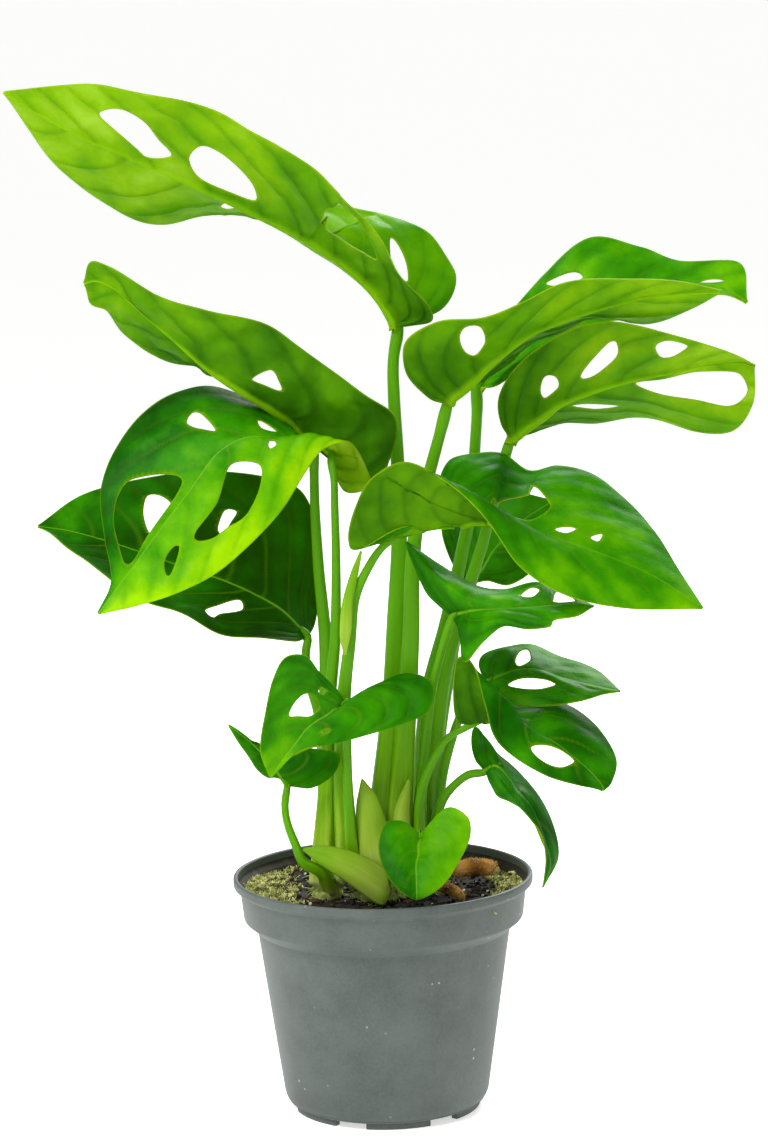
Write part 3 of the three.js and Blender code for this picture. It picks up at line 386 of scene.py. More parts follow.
# %% The pot's sizes
_, pot_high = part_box("pot")
POT_HEIGHT = pot_high.z / MM
LIP_RADIUS = pot_high.x / MM
WALL = 1.4
BAND_TOP, BAND_LOW, BAND_RADIUS, BAND_TAPER = POT_HEIGHT - 5, POT_HEIGHT - 17, 57.4, 1.4
STEP_LOW, BODY_RADIUS, BASE_RADIUS = POT_HEIGHT - 21.5, 50.7, 41.2
FLOOR_LOW, EDGE_ROUND, FLOOR_THICKNESS = 2.0, 5.0, 2.0
FOOT_COUNT, FOOT_NOTCH, FOOT_RING, FOOT_START = 6, 13.0, 3.0, -113
DRAIN_COUNT, DRAIN_RADIUS, DRAIN_CIRCLE = 6, 3.5, 24.0
SOIL_LEVEL = POT_HEIGHT - 8
print("pot", round(POT_HEIGHT, 1), "mm tall,", round(2 * LIP_RADIUS, 1), "mm across its lip")


# %% The turned shell
def wire(bm, outline, closed=False):
    corners = [bm.verts.new((radius, 0, height)) for radius, height in outline]
    pairs = list(zip(corners, corners[1:])) + ([(corners[-1], corners[0])] if closed else [])
    for a, b in pairs:
        bm.edges.new((a, b))
    return corners


def turned(bm, degrees, steps, whole):
    bmesh.ops.spin(
        bm, geom=bm.verts[:] + bm.edges[:], cent=(0, 0, 0), axis=(0, 0, 1),
        angle=math.radians(degrees), steps=steps, use_merge=whole,
    )
    bmesh.ops.remove_doubles(bm, verts=bm.verts, dist=1e-4)


INSIDE = [
    (LIP_RADIUS - 1.7, BAND_TOP + 1.2), (BAND_RADIUS - WALL, BAND_TOP - 0.8),
    (BAND_RADIUS - BAND_TAPER - WALL, BAND_LOW - 0.6), (BODY_RADIUS - WALL, STEP_LOW),
    (BASE_RADIUS - WALL, FLOOR_LOW + EDGE_ROUND),
]
shell = bmesh.new()
corners = wire(shell, [
    (0, FLOOR_LOW), (BASE_RADIUS - 0.62 * EDGE_ROUND, FLOOR_LOW),
    (BASE_RADIUS - 0.3, FLOOR_LOW + 0.55 * EDGE_ROUND),
    (BODY_RADIUS, STEP_LOW), (BAND_RADIUS - BAND_TAPER, BAND_LOW), (BAND_RADIUS, BAND_TOP),
    (LIP_RADIUS, BAND_TOP + 1.5), (LIP_RADIUS, POT_HEIGHT), (LIP_RADIUS - 1.9, POT_HEIGHT),
    *INSIDE, (BASE_RADIUS - EDGE_ROUND, FLOOR_LOW + FLOOR_THICKNESS), (0, FLOOR_LOW + FLOOR_THICKNESS),
])
BOTTOM_EDGE, STEP_EDGE, BAND_EDGES, LIP_EDGES, INNER_EDGES = 2.4, 0.3, 0.7, 0.8, 0.7
for chosen, offset in (
    (corners[1:3], BOTTOM_EDGE), (corners[3:4], STEP_EDGE), (corners[4:7], BAND_EDGES),
    (corners[7:9], LIP_EDGES), (corners[9:-1], INNER_EDGES),
):
    bmesh.ops.bevel(
        shell, geom=chosen, offset=offset, offset_type="OFFSET", segments=4, profile=0.5,
        affect="VERTICES", material=-1,
    )
turned(shell, 360, 144, whole=True)
bmesh.ops.recalc_face_normals(shell, faces=shell.faces)
print("turned shell:", len(shell.faces), "faces,", sum(e.is_boundary for e in shell.edges), "open edges")

# %% The feet and the centre pad
CENTRE_PAD_RADIUS = 9
ring_out = BASE_RADIUS - EDGE_ROUND + FOOT_RING / 2
ring_in, foot_top = ring_out - FOOT_RING, FLOOR_LOW + 1
notch_angle = math.degrees(FOOT_NOTCH / ring_out)
foot_arc = 360 / FOOT_COUNT - notch_angle
feet = bmesh.new()
for i in range(FOOT_COUNT):
    foot = bmesh.new()
    wire(foot, [(ring_in, 0), (ring_out, 0), (ring_out, foot_top), (ring_in, foot_top)], closed=True)
    turned(foot, foot_arc, 12, whole=False)
    bmesh.ops.holes_fill(foot, edges=[e for e in foot.edges if e.is_boundary], sides=4)
    bmesh.ops.recalc_face_normals(foot, faces=foot.faces)
    sharp = [e for e in foot.edges if e.calc_face_angle(0) > 1]
    bmesh.ops.bevel(
        foot, geom=sharp, offset=0.4, offset_type="OFFSET", segments=2, profile=0.5,
        affect="EDGES", material=-1,
    )
    start = Matrix.Rotation(math.radians(FOOT_START + notch_angle / 2 + i * 360 / FOOT_COUNT), 3, "Z")
    bmesh.ops.rotate(foot, cent=(0, 0, 0), matrix=start, verts=foot.verts)
    part = bpy.data.meshes.new("foot")
    foot.to_mesh(part)
    feet.from_mesh(part)
    foot.free()
bmesh.ops.create_cone(
    feet, cap_ends=True, segments=48, radius1=CENTRE_PAD_RADIUS, radius2=CENTRE_PAD_RADIUS,
    depth=foot_top, matrix=Matrix.Translation((0, 0, foot_top / 2)),
)
print(FOOT_COUNT, "feet of", round(foot_arc, 1), "degrees each and a centre pad")

# %% The drain holes
pot_mesh = bpy.data.meshes.new("pot_shell")
shell.to_mesh(pot_mesh)
cutters = bmesh.new()
for i in range(DRAIN_COUNT):
    turn = math.tau * i / DRAIN_COUNT
    spot = (DRAIN_CIRCLE * math.cos(turn), DRAIN_CIRCLE * math.sin(turn), FLOOR_LOW + 1)
    bmesh.ops.create_cone(
        cutters, cap_ends=True, segments=32, radius1=DRAIN_RADIUS, radius2=DRAIN_RADIUS, depth=8,
        matrix=Matrix.Translation(spot),
    )
cutter_mesh = bpy.data.meshes.new("drain_cutters")
cutters.to_mesh(cutter_mesh)
shell_object = bpy.data.objects.new("pot_shell", pot_mesh)
cutter_object = bpy.data.objects.new("drain_cutters", cutter_mesh)
for made in (shell_object, cutter_object):
    bpy.context.scene.collection.objects.link(made)
cut = shell_object.modifiers.new("drain", "BOOLEAN")
cut.operation, cut.object, cut.solver = "DIFFERENCE", cutter_object, "EXACT"
seen = shell_object.evaluated_get(bpy.context.evaluated_depsgraph_get())
drained = bpy.data.meshes.new_from_object(seen)
pot = bmesh.new()
pot.from_mesh(drained)
feet_mesh = bpy.data.meshes.new("feet")
feet.to_mesh(feet_mesh)
pot.from_mesh(feet_mesh)
for made in (shell_object, cutter_object):
    bpy.data.objects.remove(made)
# The faces that look inwards, from just over the floor to just under the lip, get a near-black brown
# finish: painted shade inside the pot.
SHADE_LOW, SHADE_TOP = FLOOR_LOW + 3, POT_HEIGHT - 2.2
for face in pot.faces:
    centre = face.calc_center_median()
    looks_in = face.normal.x * centre.x + face.normal.y * centre.y < 0
    face.material_index = 1 if looks_in and SHADE_LOW < centre.z < SHADE_TOP else 0
pot_piece = finish_piece("pot_shell", pot, [pot_plastic, inner_wall_shade], ["pot"])
pot_piece.data.set_sharp_from_angle(angle=math.radians(35))

# %% [markdown]
# ## The soil
# Potting soil is peat in crumbs of 1 to 3 mm with bark and a little perlite, and moss grows on it
# where it stays damp, by the wall. A grid is bent to a disc, roughened, and given a body down to
# the pot's floor; the crumbs, chips and moss are many small solids scattered on it.

# %% The soil's body
SOIL_CELLS = 150
INSIDE_RISING = sorted(INSIDE, key=lambda pair: pair[1])


def inside_radius(height):
    return float(np.interp(height, [h for _, h in INSIDE_RISING], [r for r, _ in INSIDE_RISING]))


SOIL_LUMPS = [(1.3, 12, 3), (0.9, 5, 7), (0.5, 2, 9)]  # height, width, and which layer of noise
MOUND, BANK_HEIGHT, BANK_FROM = 1.6, 3.4, 0.72
LEFT_BANK, RIGHT_BANK = 34, 26  # how wide each bank is, in degrees


def soil_height(x, y):
    """The soil's surface: a low mound with lumps, banked up by the mossy wall left and right."""
    share = math.hypot(x, y) / inside_radius(SOIL_LEVEL)
    lumps = sum(
        rise * noise.noise(Vector((x / wide, y / wide, layer))) for rise, wide, layer in SOIL_LUMPS
    )
    turn = math.degrees(math.atan2(y, x)) % 360
    from_left, from_right = turn - 180, (turn + 180) % 360 - 180
    banked = max(math.exp(-((from_left / LEFT_BANK) ** 2)), math.exp(-((from_right / RIGHT_BANK) ** 2)))
    bank = BANK_HEIGHT * banked * max(0.0, (share - BANK_FROM) / (1 - BANK_FROM))
    return SOIL_LEVEL + MOUND * (1 - share * share) - 0.6 + lumps + bank


soil = bmesh.new()
bmesh.ops.create_grid(soil, x_segments=SOIL_CELLS, y_segments=SOIL_CELLS, size=1)
for vert in soil.verts:
    x, y = vert.co.x, vert.co.y
    x, y = x * math.sqrt(1 - y * y / 2), y * math.sqrt(1 - x * x / 2)
    radius = inside_radius(SOIL_LEVEL) - 0.1
    vert.co = (x * radius, y * radius, soil_height(x * radius, y * radius))
for height in (STEP_LOW, FLOOR_LOW + EDGE_ROUND, FLOOR_LOW + FLOOR_THICKNESS + 0.2):
    rim_edges = [e for e in soil.edges if e.is_boundary]
    lowered = bmesh.ops.extrude_edge_only(soil, edges=rim_edges)
    for vert in (g for g in lowered["geom"] if isinstance(g, bmesh.types.BMVert)):
        reach = (inside_radius(height) - 0.4) / math.hypot(vert.co.x, vert.co.y)
        vert.co = (vert.co.x * reach, vert.co.y * reach, height)
bmesh.ops.contextual_create(soil, geom=[e for e in soil.edges if e.is_boundary])
bmesh.ops.recalc_face_normals(soil, faces=soil.faces)
finish_piece("soil_body", soil, [peat], ["soil"])


# %% Crumbs, bark, perlite and moss
RIM_GAP, MOSS_GAP = 2.0, 1.2  # millimetres that loose pieces and moss keep from the wall
TUFT_BLADES, TUFT_LEAN = 7, 0.9


def scattered(name, count, spot, material, shape):
    """count small solids; spot gives a place, and shape adds one solid there."""
    heap = bmesh.new()
    for _ in range(count):
        x, y = spot()
        shape(heap, x, y, soil_height(x, y))
    return finish_piece(name, heap, [material])


def anywhere():
    turn, share = random.uniform(0, math.tau), math.sqrt(random.random())
    radius = (inside_radius(SOIL_LEVEL) - RIM_GAP) * share
    return radius * math.cos(turn), radius * math.sin(turn)


def by_the_wall(ranges):
    def spot():
        low, high, depth = random.choice(ranges)
        turn = math.radians(random.uniform(low, high))
        radius = inside_radius(SOIL_LEVEL) - MOSS_GAP - depth * random.random() ** 1.6
        return radius * math.cos(turn), radius * math.sin(turn)

    return spot


def tumbled(x, y, z, sizes):
    turn = Matrix.Rotation(random.uniform(0, math.tau), 4, random.choice("XYZ"))
    return (
        Matrix.Translation((x, y, z))
        @ turn
        @ Matrix.Rotation(random.uniform(-0.5, 0.5), 4, "X")
        @ Matrix.Diagonal((*sizes, 1))
    )


def template(make, **sizes):
    """A small solid of unit size to stamp many times."""
    bm = bmesh.new()
    make(bm, **sizes)
    mesh = bpy.data.meshes.new("template")
    bm.to_mesh(mesh)
    bm.free()
    return mesh


lump = template(bmesh.ops.create_icosphere, subdivisions=1, radius=1)
spike = template(bmesh.ops.create_cone, cap_ends=True, segments=4, radius1=1, radius2=0.2, depth=1)


def stamp(heap, mesh, matrix):
    copy = mesh.copy()
    copy.transform(matrix)
    heap.from_mesh(copy)
    bpy.data.meshes.remove(copy)


def crumb(heap, x, y, z):
    size = random.uniform(0.5, 1.5)
    sizes = [size * random.uniform(0.6, 1.2) for _ in range(3)]
    stamp(heap, lump, tumbled(x, y, z + 0.2 * size, sizes))


def chip(heap, x, y, z):
    sizes = (random.uniform(1.2, 3), random.uniform(0.6, 1.4), random.uniform(0.3, 0.7))
    stamp(heap, lump, tumbled(x, y, z + 0.5, sizes))


def bead(heap, x, y, z):
    size = random.uniform(0.5, 1.0)
    stamp(heap, lump, tumbled(x, y, z + 0.4, (size, 0.9 * size, 0.8 * size)))


def tuft(heap, x, y, z):
    """A moss tuft: a few leaning blades 1 to 3 mm high."""
    for _ in range(TUFT_BLADES):
        lean = Matrix.Rotation(random.uniform(-TUFT_LEAN, TUFT_LEAN), 4, "X")
        lean @= Matrix.Rotation(random.uniform(-TUFT_LEAN, TUFT_LEAN), 4, "Y")
        height, thick = random.uniform(1.0, 3.0), random.uniform(0.25, 0.5)
        base = Matrix.Translation((x + random.gauss(0, 0.7), y + random.gauss(0, 0.7), z + 0.3 * height))
        stamp(heap, spike, base @ lean @ Matrix.Diagonal((thick, thick, height, 1)))


# The moss follows the damp wall on the left and right, with a little along the front and back.
# Each entry is a range of directions in degrees and how far in from the wall the moss reaches.
MOSSY = [(145, 222, 13), (160, 208, 20), (-28, 36, 9), (215, 320, 3.5), (40, 150, 4)]
LOOSE_PIECES = [
    ("peat_crumbs", 900, anywhere, peat, crumb),
    ("bark_chips", 70, anywhere, bark, chip),
    ("perlite_beads", 90, anywhere, perlite, bead),
    ("moss_tufts", 860, by_the_wall(MOSSY), moss, tuft),
    ("moss_crumbs", 420, by_the_wall(MOSSY), moss, crumb),
]
for heap_name, count, spot, material, shape in LOOSE_PIECES:
    scattered(heap_name, count, spot, material, shape)

# %% [markdown]
# ## The measured growth
# The plant is given as a few measured points, in millimetres from the soil's surface on the pot's
# axis. A blade runs from its base at the petiole to its tip; each station across it holds the left
# margin, the midrib and the right margin. The bulge is how far each half swells out between midrib
# and margin. A window is an outline in blade coordinates: u from base 0 to tip 1, and v from the
# left margin -1 over the midrib 0 to the right margin 1. A petiole has two radii and a route.

# %% Points of the blades, sheaths and petioles
LEAVES = {
    "leaf_high_left": dict(base=(10,4,226), tip=(-140,-8,321), bulge=(4,3), stations=[
        ((24,-3,230), (8,4,231), (28,9,233)), ((16,-11,243), (2,4,240), (33,16,246)),
        ((6,-18,258), (-8,3,250), (26,22,258)), ((-7,-24,277), (-21,2,259), (9,27,269)),
        ((-23,-27,291), (-33,1,267), (-16,30,273)), ((-45,-28,306), (-51,0,276), (-43,30,270)),
        ((-69,-28,316), (-72,-2,286), (-66,28,270)), ((-96,-24,322), (-94,-4,296), (-93,22,270)),
        ((-120,-15,323), (-117,-6,307), (-119,12,289)),
    ], windows=[
        [
            (.83,-.51), (.82,-.65), (.79,-.72), (.76,-.63), (.74,-.45), (.72,-.29), (.76,-.12), (.78,-.2),
        ],
        [
            (.69,-.32), (.68,-.51), (.66,-.59), (.62,-.55), (.58,-.4), (.57,-.19), (.61,-.13), (.67,-.13),
        ],
        [(.43,-.61), (.42,-.8), (.37,-.84), (.29,-.6), (.33,-.38), (.37,-.31), (.41,-.3)],
        [(.33,.55), (.34,.63), (.3,.57), (.24,.46), (.21,.38), (.25,.35), (.29,.41)],
        [(.65,.48), (.63,.2), (.61,.22), (.64,.53)],
    ]),
    "leaf_curled_left": dict(base=(-24,-2,180), tip=(-111,-12,247), bulge=(4,2), stations=[
        ((-2,-1,166), (-27,-2,184), (-25,2,184)), ((6,-4,176), (-31,-3,189), (-29,4,190)),
        ((8,-5,192), (-36,-5,194), (-34,7,196)), ((-5,-10,203), (-44,-7,200), (-42,7,203)),
        ((-24,-16,217), (-52,-9,205), (-56,6,207)), ((-42,-21,231), (-63,-11,213), (-69,4,213)),
        ((-64,-23,237), (-73,-13,222), (-83,1,218)), ((-85,-22,243), (-84,-14,232), (-97,-3,226)),
        ((-100,-17,253), (-96,-14,243), (-103,-8,237)), ((-108,-13,255), (-105,-13,248), (-109,-10,240)),
    ], windows=[
        [(.47,-.27), (.47,-.54), (.44,-.48), (.41,-.36), (.44,-.3)],
    ]),
    "leaf_windowed": dict(base=(-17,-15,180), tip=(-108,-34,121), bulge=(5,3), stations=[
        ((-19,-12,182), (-19,-16,182), (-12,-8,164)), ((-22,-10,183), (-21,-17,184), (-2,-7,166)),
        ((-26,-7,183), (-24,-18,185), (-5,-13,177)), ((-34,5,187), (-30,-19,187), (-11,-20,184)),
        ((-44,14,197), (-38,-21,187), (-20,-23,182)), ((-63,12,203), (-50,-22,187), (-28,-25,172)),
        ((-83,5,199), (-61,-23,181), (-37,-28,159)), ((-98,-6,187), (-72,-26,167), (-49,-33,147)),
        ((-106,-17,169), (-84,-28,152), (-63,-36,136)), ((-105,-25,150), (-93,-30,140), (-78,-37,129)),
        ((-103,-29,133), (-101,-31,130), (-94,-35,124)),
    ], windows=[
        [(.58,-.54), (.56,-.61), (.55,-.52), (.55,-.24), (.57,-.35), (.58,-.45)],
        [(.45,-.28), (.41,-.1), (.45,-.13)],
        [(.48,.29), (.46,.22), (.47,.37), (.49,.39)],
        [
            (.79,-.71), (.73,-.69), (.7,-.54), (.66,-.2), (.68,-.09), (.78,-.09), (.84,-.09), (.85,-.3),
            (.82,-.6),
        ],
        [
            (.58,.22), (.54,.46), (.57,.63), (.63,.73), (.67,.66), (.7,.62), (.72,.5), (.71,.4),
            (.65,.37),
        ],
        [(.79,.36), (.76,.31), (.75,.38), (.79,.55), (.81,.62), (.81,.53)],
    ]),
    "leaf_dark_left": dict(base=(-28,2,104), tip=(-134,6,150), bulge=(-4,-3), stations=[
        ((-25,10,109), (-31,3,108), (-33,-4,104)), ((-24,18,120), (-38,4,115), (-46,-9,106)),
        ((-23,24,133), (-48,5,121), (-61,-12,109)), ((-26,28,151), (-61,6,127), (-75,-13,116)),
        ((-35,30,162), (-75,6,132), (-89,-12,122)), ((-60,29,167), (-91,6,138), (-104,-8,130)),
        ((-90,25,166), (-108,6,144), (-118,-3,140)), ((-116,17,161), (-122,6,148), (-127,2,147)),
    ], windows=[
        [(.74,-.44), (.76,-.7), (.74,-.71), (.7,-.56), (.69,-.39), (.7,-.23)],
        [(.59,-.44), (.61,-.61), (.59,-.63), (.58,-.53), (.57,-.4)],
        [(.5,-.18), (.52,-.3), (.5,-.32), (.49,-.25), (.49,-.17)],
        [(.42,.68), (.4,.45), (.38,.28), (.36,.22), (.34,.37), (.38,.6), (.39,.74)],
    ]),
    "leaf_low_left": dict(base=(-13,-24,82), tip=(-43,-34,55), bulge=(-2,3), stations=[
        ((-16,-28,88), (-15,-26,81), (0,-18,90)), ((-23,-33,96), (-18,-28,80), (12,-16,93)),
        ((-28,-36,103), (-21,-29,78), (21,-19,88)), ((-36,-38,103), (-25,-30,76), (18,-25,78)),
        ((-41,-38,94), (-29,-31,73), (2,-30,73)), ((-44,-37,80), (-33,-32,68), (-18,-33,68)),
        ((-46,-36,66), (-38,-33,62), (-32,-34,65)),
    ], windows=[
        [(.66,-.39), (.53,-.41), (.43,-.36), (.41,-.15), (.54,-.12)],
        [(.36,-.4), (.27,-.55), (.23,-.53), (.31,-.36)],
        [(.64,.2), (.61,.22), (.65,.34), (.66,.3)],
    ]),
    "leaf_lowest_left": dict(base=(-37,-20,49), tip=(-59,-28,75), bulge=(1,2), stations=[
        ((-40,-22,52), (-39,-23,52), (-28,-16,46)), ((-44,-24,53), (-41,-25,56), (-19,-17,52)),
        ((-48,-26,57), (-44,-26,60), (-17,-21,61)), ((-51,-27,62), (-47,-27,64), (-27,-25,64)),
        ((-55,-28,68), (-52,-27,69), (-44,-27,65)),
    ], windows=[]),
    "leaf_arching_right": dict(base=(24,-25,152), tip=(125,-42,120), bulge=(4,4), stations=[
        ((27,-18,159), (26,-26,152), (9,-31,152)), ((25,-10,167), (30,-27,152), (-7,-31,144)),
        ((30,-3,175), (34,-26,152), (-11,-31,148)), ((41,2,176), (38,-27,153), (-8,-33,160)),
        ((51,5,175), (43,-28,153), (-1,-34,172)), ((61,7,169), (48,-29,153), (13,-34,178)),
        ((72,8,170), (55,-30,152), (29,-36,169)), ((86,5,166), (64,-31,149), (43,-42,155)),
        ((100,-4,156), (75,-33,145), (55,-50,139)), ((109,-16,146), (89,-36,140), (73,-53,128)),
        ((117,-30,132), (107,-39,132), (96,-50,122)),
    ], windows=[
        [(.41,-.13), (.46,-.45), (.54,-.59), (.62,-.4), (.64,-.29), (.61,-.09), (.53,-.09)],
        [(.69,-.09), (.71,-.18), (.73,-.21), (.72,-.1)],
        [(.77,-.19), (.78,-.32), (.79,-.18)],
    ]),
    "leaf_shiny_middle": dict(base=(29,-18,114), tip=(83,-44,122), bulge=(3,3), stations=[
        ((24,-17,119), (31,-20,116), (32,-24,109)), ((18,-15,126), (34,-22,117), (33,-30,99)),
        ((11,-13,144), (36,-25,118), (40,-37,108)), ((24,-9,135), (41,-29,119), (48,-43,115)),
        ((38,-8,124), (49,-33,120), (58,-48,114)), ((49,-12,123), (58,-37,121), (66,-49,115)),
        ((63,-20,128), (67,-40,122), (68,-48,118)), ((76,-32,124), (76,-42,123), (77,-46,119)),
    ], windows=[
        [(.69,-.48), (.74,-.72), (.76,-.55), (.72,-.34)],
        [(.8,-.24), (.85,-.85), (.89,-.27), (.86,-.09), (.8,-.09)],
    ]),
    "leaf_folded_right": dict(base=(29,-3,197), tip=(135,-20,240), bulge=(4,2), stations=[
        ((21,-8,200), (30,-4,200), (35,2,200)), ((13,-14,210), (34,-5,203), (42,8,205)),
        ((13,-19,223), (38,-6,206), (50,14,210)), ((25,-23,230), (43,-8,211), (59,17,215)),
        ((41,-26,232), (51,-10,218), (66,17,221)), ((58,-28,238), (61,-12,225), (78,15,224)),
        ((76,-28,245), (74,-14,230), (92,10,230)), ((97,-26,246), (90,-16,235), (107,4,227)),
        ((117,-22,244), (109,-18,239), (123,-8,232)),
    ], windows=[
        [(.42,-.68), (.46,-.86), (.49,-.82), (.47,-.47), (.42,-.3), (.4,-.43)],
    ]),
    "leaf_behind_right": dict(base=(41,16,201), tip=(149,24,232), bulge=(-3,-2), stations=[
        ((40,20,207), (44,17,204), (47,12,202)), ((46,28,217), (50,20,209), (56,14,207)),
        ((57,38,230), (62,25,218), (68,18,215)), ((70,46,243), (76,30,225), (82,20,221)),
        ((89,50,257), (92,34,232), (96,22,226)), ((109,49,253), (110,36,237), (113,24,229)),
        ((124,44,247), (127,34,239), (127,26,233)), ((147,36,247), (140,29,238), (139,25,236)),
    ], windows=[
        [(.44,-.85), (.47,-.79), (.51,-.65), (.52,-.51), (.47,-.64)],
        [(.38,-.59), (.41,-.73), (.43,-.71), (.44,-.58), (.41,-.48)],
        [(.81,-.09), (.84,-.25), (.88,-.23), (.85,-.09)],
        [(.61,.46), (.65,.34), (.7,.64), (.65,.86), (.62,.75)],
    ]),
    "leaf_wide_right": dict(base=(54,8,181), tip=(150,2,209), bulge=(3,3), stations=[
        ((50,3,188), (56,8,183), (61,13,183)), ((49,-3,198), (61,7,187), (66,18,184)),
        ((54,-8,208), (67,6,191), (74,22,185)), ((63,-12,218), (74,5,196), (84,25,186)),
        ((77,-15,226), (85,4,200), (95,27,186)), ((94,-16,228), (99,3,204), (110,27,186)),
        ((113,-14,224), (115,2,207), (128,24,182)), ((131,-9,218), (130,2,210), (143,18,182)),
        ((144,-2,212), (142,2,211), (150,8,194)),
    ], windows=[
        [(.35,-.42), (.39,-.57), (.42,-.46), (.41,-.27), (.35,-.25)],
        [(.49,-.32), (.54,-.54), (.59,-.73), (.59,-.48), (.54,-.27), (.5,-.23)],
        [(.68,-.68), (.71,-.85), (.75,-.79), (.72,-.46), (.69,-.43)],
        [
            (.62,.09), (.68,.09), (.78,.09), (.89,.26), (.9,.67), (.84,.69), (.75,.48), (.66,.32),
        ],
        [(.42,.22), (.48,.3), (.55,.53), (.48,.48)],
    ]),
    "leaf_right_upper_small": dict(base=(42,-3,85), tip=(95,-14,83), bulge=(2,2), stations=[
        ((40,2,92), (45,-4,87), (45,-8,83)), ((44,8,96), (49,-5,89), (48,-14,80)),
        ((52,12,98), (55,-6,91), (58,-18,79)), ((61,13,97), (63,-7,91), (70,-20,79)),
        ((72,10,92), (72,-9,88), (79,-20,80)), ((87,0,89), (84,-12,85), (89,-17,83)),
    ], windows=[
        [(.43,-.26), (.49,-.62), (.54,-.68), (.53,-.27), (.45,-.09)],
        [(.34,.44), (.43,.3), (.57,.33), (.62,.45), (.52,.59), (.41,.56)],
    ]),
    "leaf_dark_middle": dict(base=(37,30,120), tip=(72,44,151), bulge=(-2,-2), stations=[
        ((33,34,123), (40,31,123), (44,27,122)), ((29,40,131), (43,33,126), (52,27,119)),
        ((27,46,141), (47,36,132), (60,29,123)), ((30,50,151), (53,39,138), (66,33,131)),
        ((43,52,157), (60,42,144), (70,38,141)),
    ], windows=[]),
    "leaf_dark_right_low": dict(base=(41,-16,73), tip=(86,-42,49), bulge=(3,3), stations=[
        ((47,-12,75), (44,-18,74), (31,-21,73)), ((51,-8,79), (47,-20,75), (29,-23,86)),
        ((57,-6,80), (50,-22,74), (31,-24,99)), ((67,-7,79), (55,-25,73), (37,-28,98)),
        ((77,-12,75), (61,-29,70), (41,-32,82)), ((86,-20,68), (69,-33,66), (46,-38,68)),
        ((92,-30,59), (79,-37,58), (63,-44,57)), ((90,-38,52), (85,-41,52), (78,-45,52)),
    ], windows=[
        [(.69,.57), (.68,.27), (.7,.09), (.75,.09), (.77,.52), (.74,.67)],
    ]),
    "leaf_heart_front": dict(base=(15,-30,31), tip=(13,-50,9), bulge=(3,3), stations=[
        ((9,-31,36), (15,-32,29), (25,-30,41)), ((2,-34,36), (14,-35,27), (33,-33,38)),
        ((-1,-38,29), (14,-38,24), (34,-37,31)), ((0,-42,22), (13,-42,21), (30,-41,23)),
        ((4,-46,15), (13,-46,16), (24,-46,15)), ((9,-49,11), (13,-49,12), (18,-49,11)),
    ], windows=[]),
    "leaf_drooping_right": dict(base=(41,-8,50), tip=(63,-30,8), bulge=(2,2), stations=[
        ((37,-4,54), (44,-10,53), (42,-14,49)), ((36,0,61), (47,-13,53), (46,-19,43)),
        ((38,2,66), (51,-16,49), (51,-23,41)), ((44,0,59), (55,-20,44), (55,-27,39)),
        ((56,-6,49), (59,-24,38), (59,-30,35)), ((65,-14,35), (63,-27,28), (62,-32,30)),
        ((69,-22,19), (66,-29,18), (64,-32,20)),
    ], windows=[]),
}

SHEATHS = {
    "sheath_middle": dict(base=(-2,-23.5,9.2), tip=(-7.5,-15,49.7), bulge=(2,2), stations=[
        ((-8.5,-21,11), (-2.3,-24,12.5), (4.5,-21,12.5)),
        ((-8.8,-21,19), (-3,-24,20.5), (3.6,-21,21.5)),
        ((-9.2,-19.5,28.5), (-4.6,-22,30), (1.8,-19,31.7)),
        ((-9.6,-18,39.2), (-6.2,-19.5,40.4), (-2,-17,42.6)),
    ], windows=[]),
    "sheath_right": dict(base=(8,-18,13.3), tip=(11.1,-13,48.9), bulge=(1,1), stations=[
        ((5.7,-17.5,18.1), (8.1,-19,18.8), (10.5,-16.5,18.2)),
        ((4.3,-16.5,26.8), (7.5,-18,28.3), (10.7,-15.5,28.1)),
        ((6.1,-14,38.3), (8.5,-15.5,39), (10.9,-13.5,38.9)),
    ], windows=[]),
    "sheath_fallen": dict(base=(2.7,-28,6.6), tip=(-31.1,-28,24.9), bulge=(2,2), stations=[
        ((0.5,-25.5,15), (-1.2,-30.5,9.2), (-1,-29.5,2.6)),
        ((-10.6,-27.5,22.6), (-12.2,-31.5,17.6), (-13.2,-31,11.6)),
        ((-21.8,-28.5,25.8), (-22.1,-30.5,22), (-22.8,-30,18.2)),
    ], windows=[]),
    "bract": dict(base=(-13.1,-23,101), tip=(-6,-22,141.7), bulge=(.5,.5), stations=[
        ((-14.5,-23,108.5), (-12.5,-24,110.3), (-10.9,-23.5,110.9)),
        ((-13.5,-23.5,120.9), (-11.5,-24.5,122.2), (-9.9,-24,122.4)),
        ((-10.1,-23,132.5), (-8.9,-23.5,133), (-7.8,-23,132.5)),
    ], windows=[]),
}

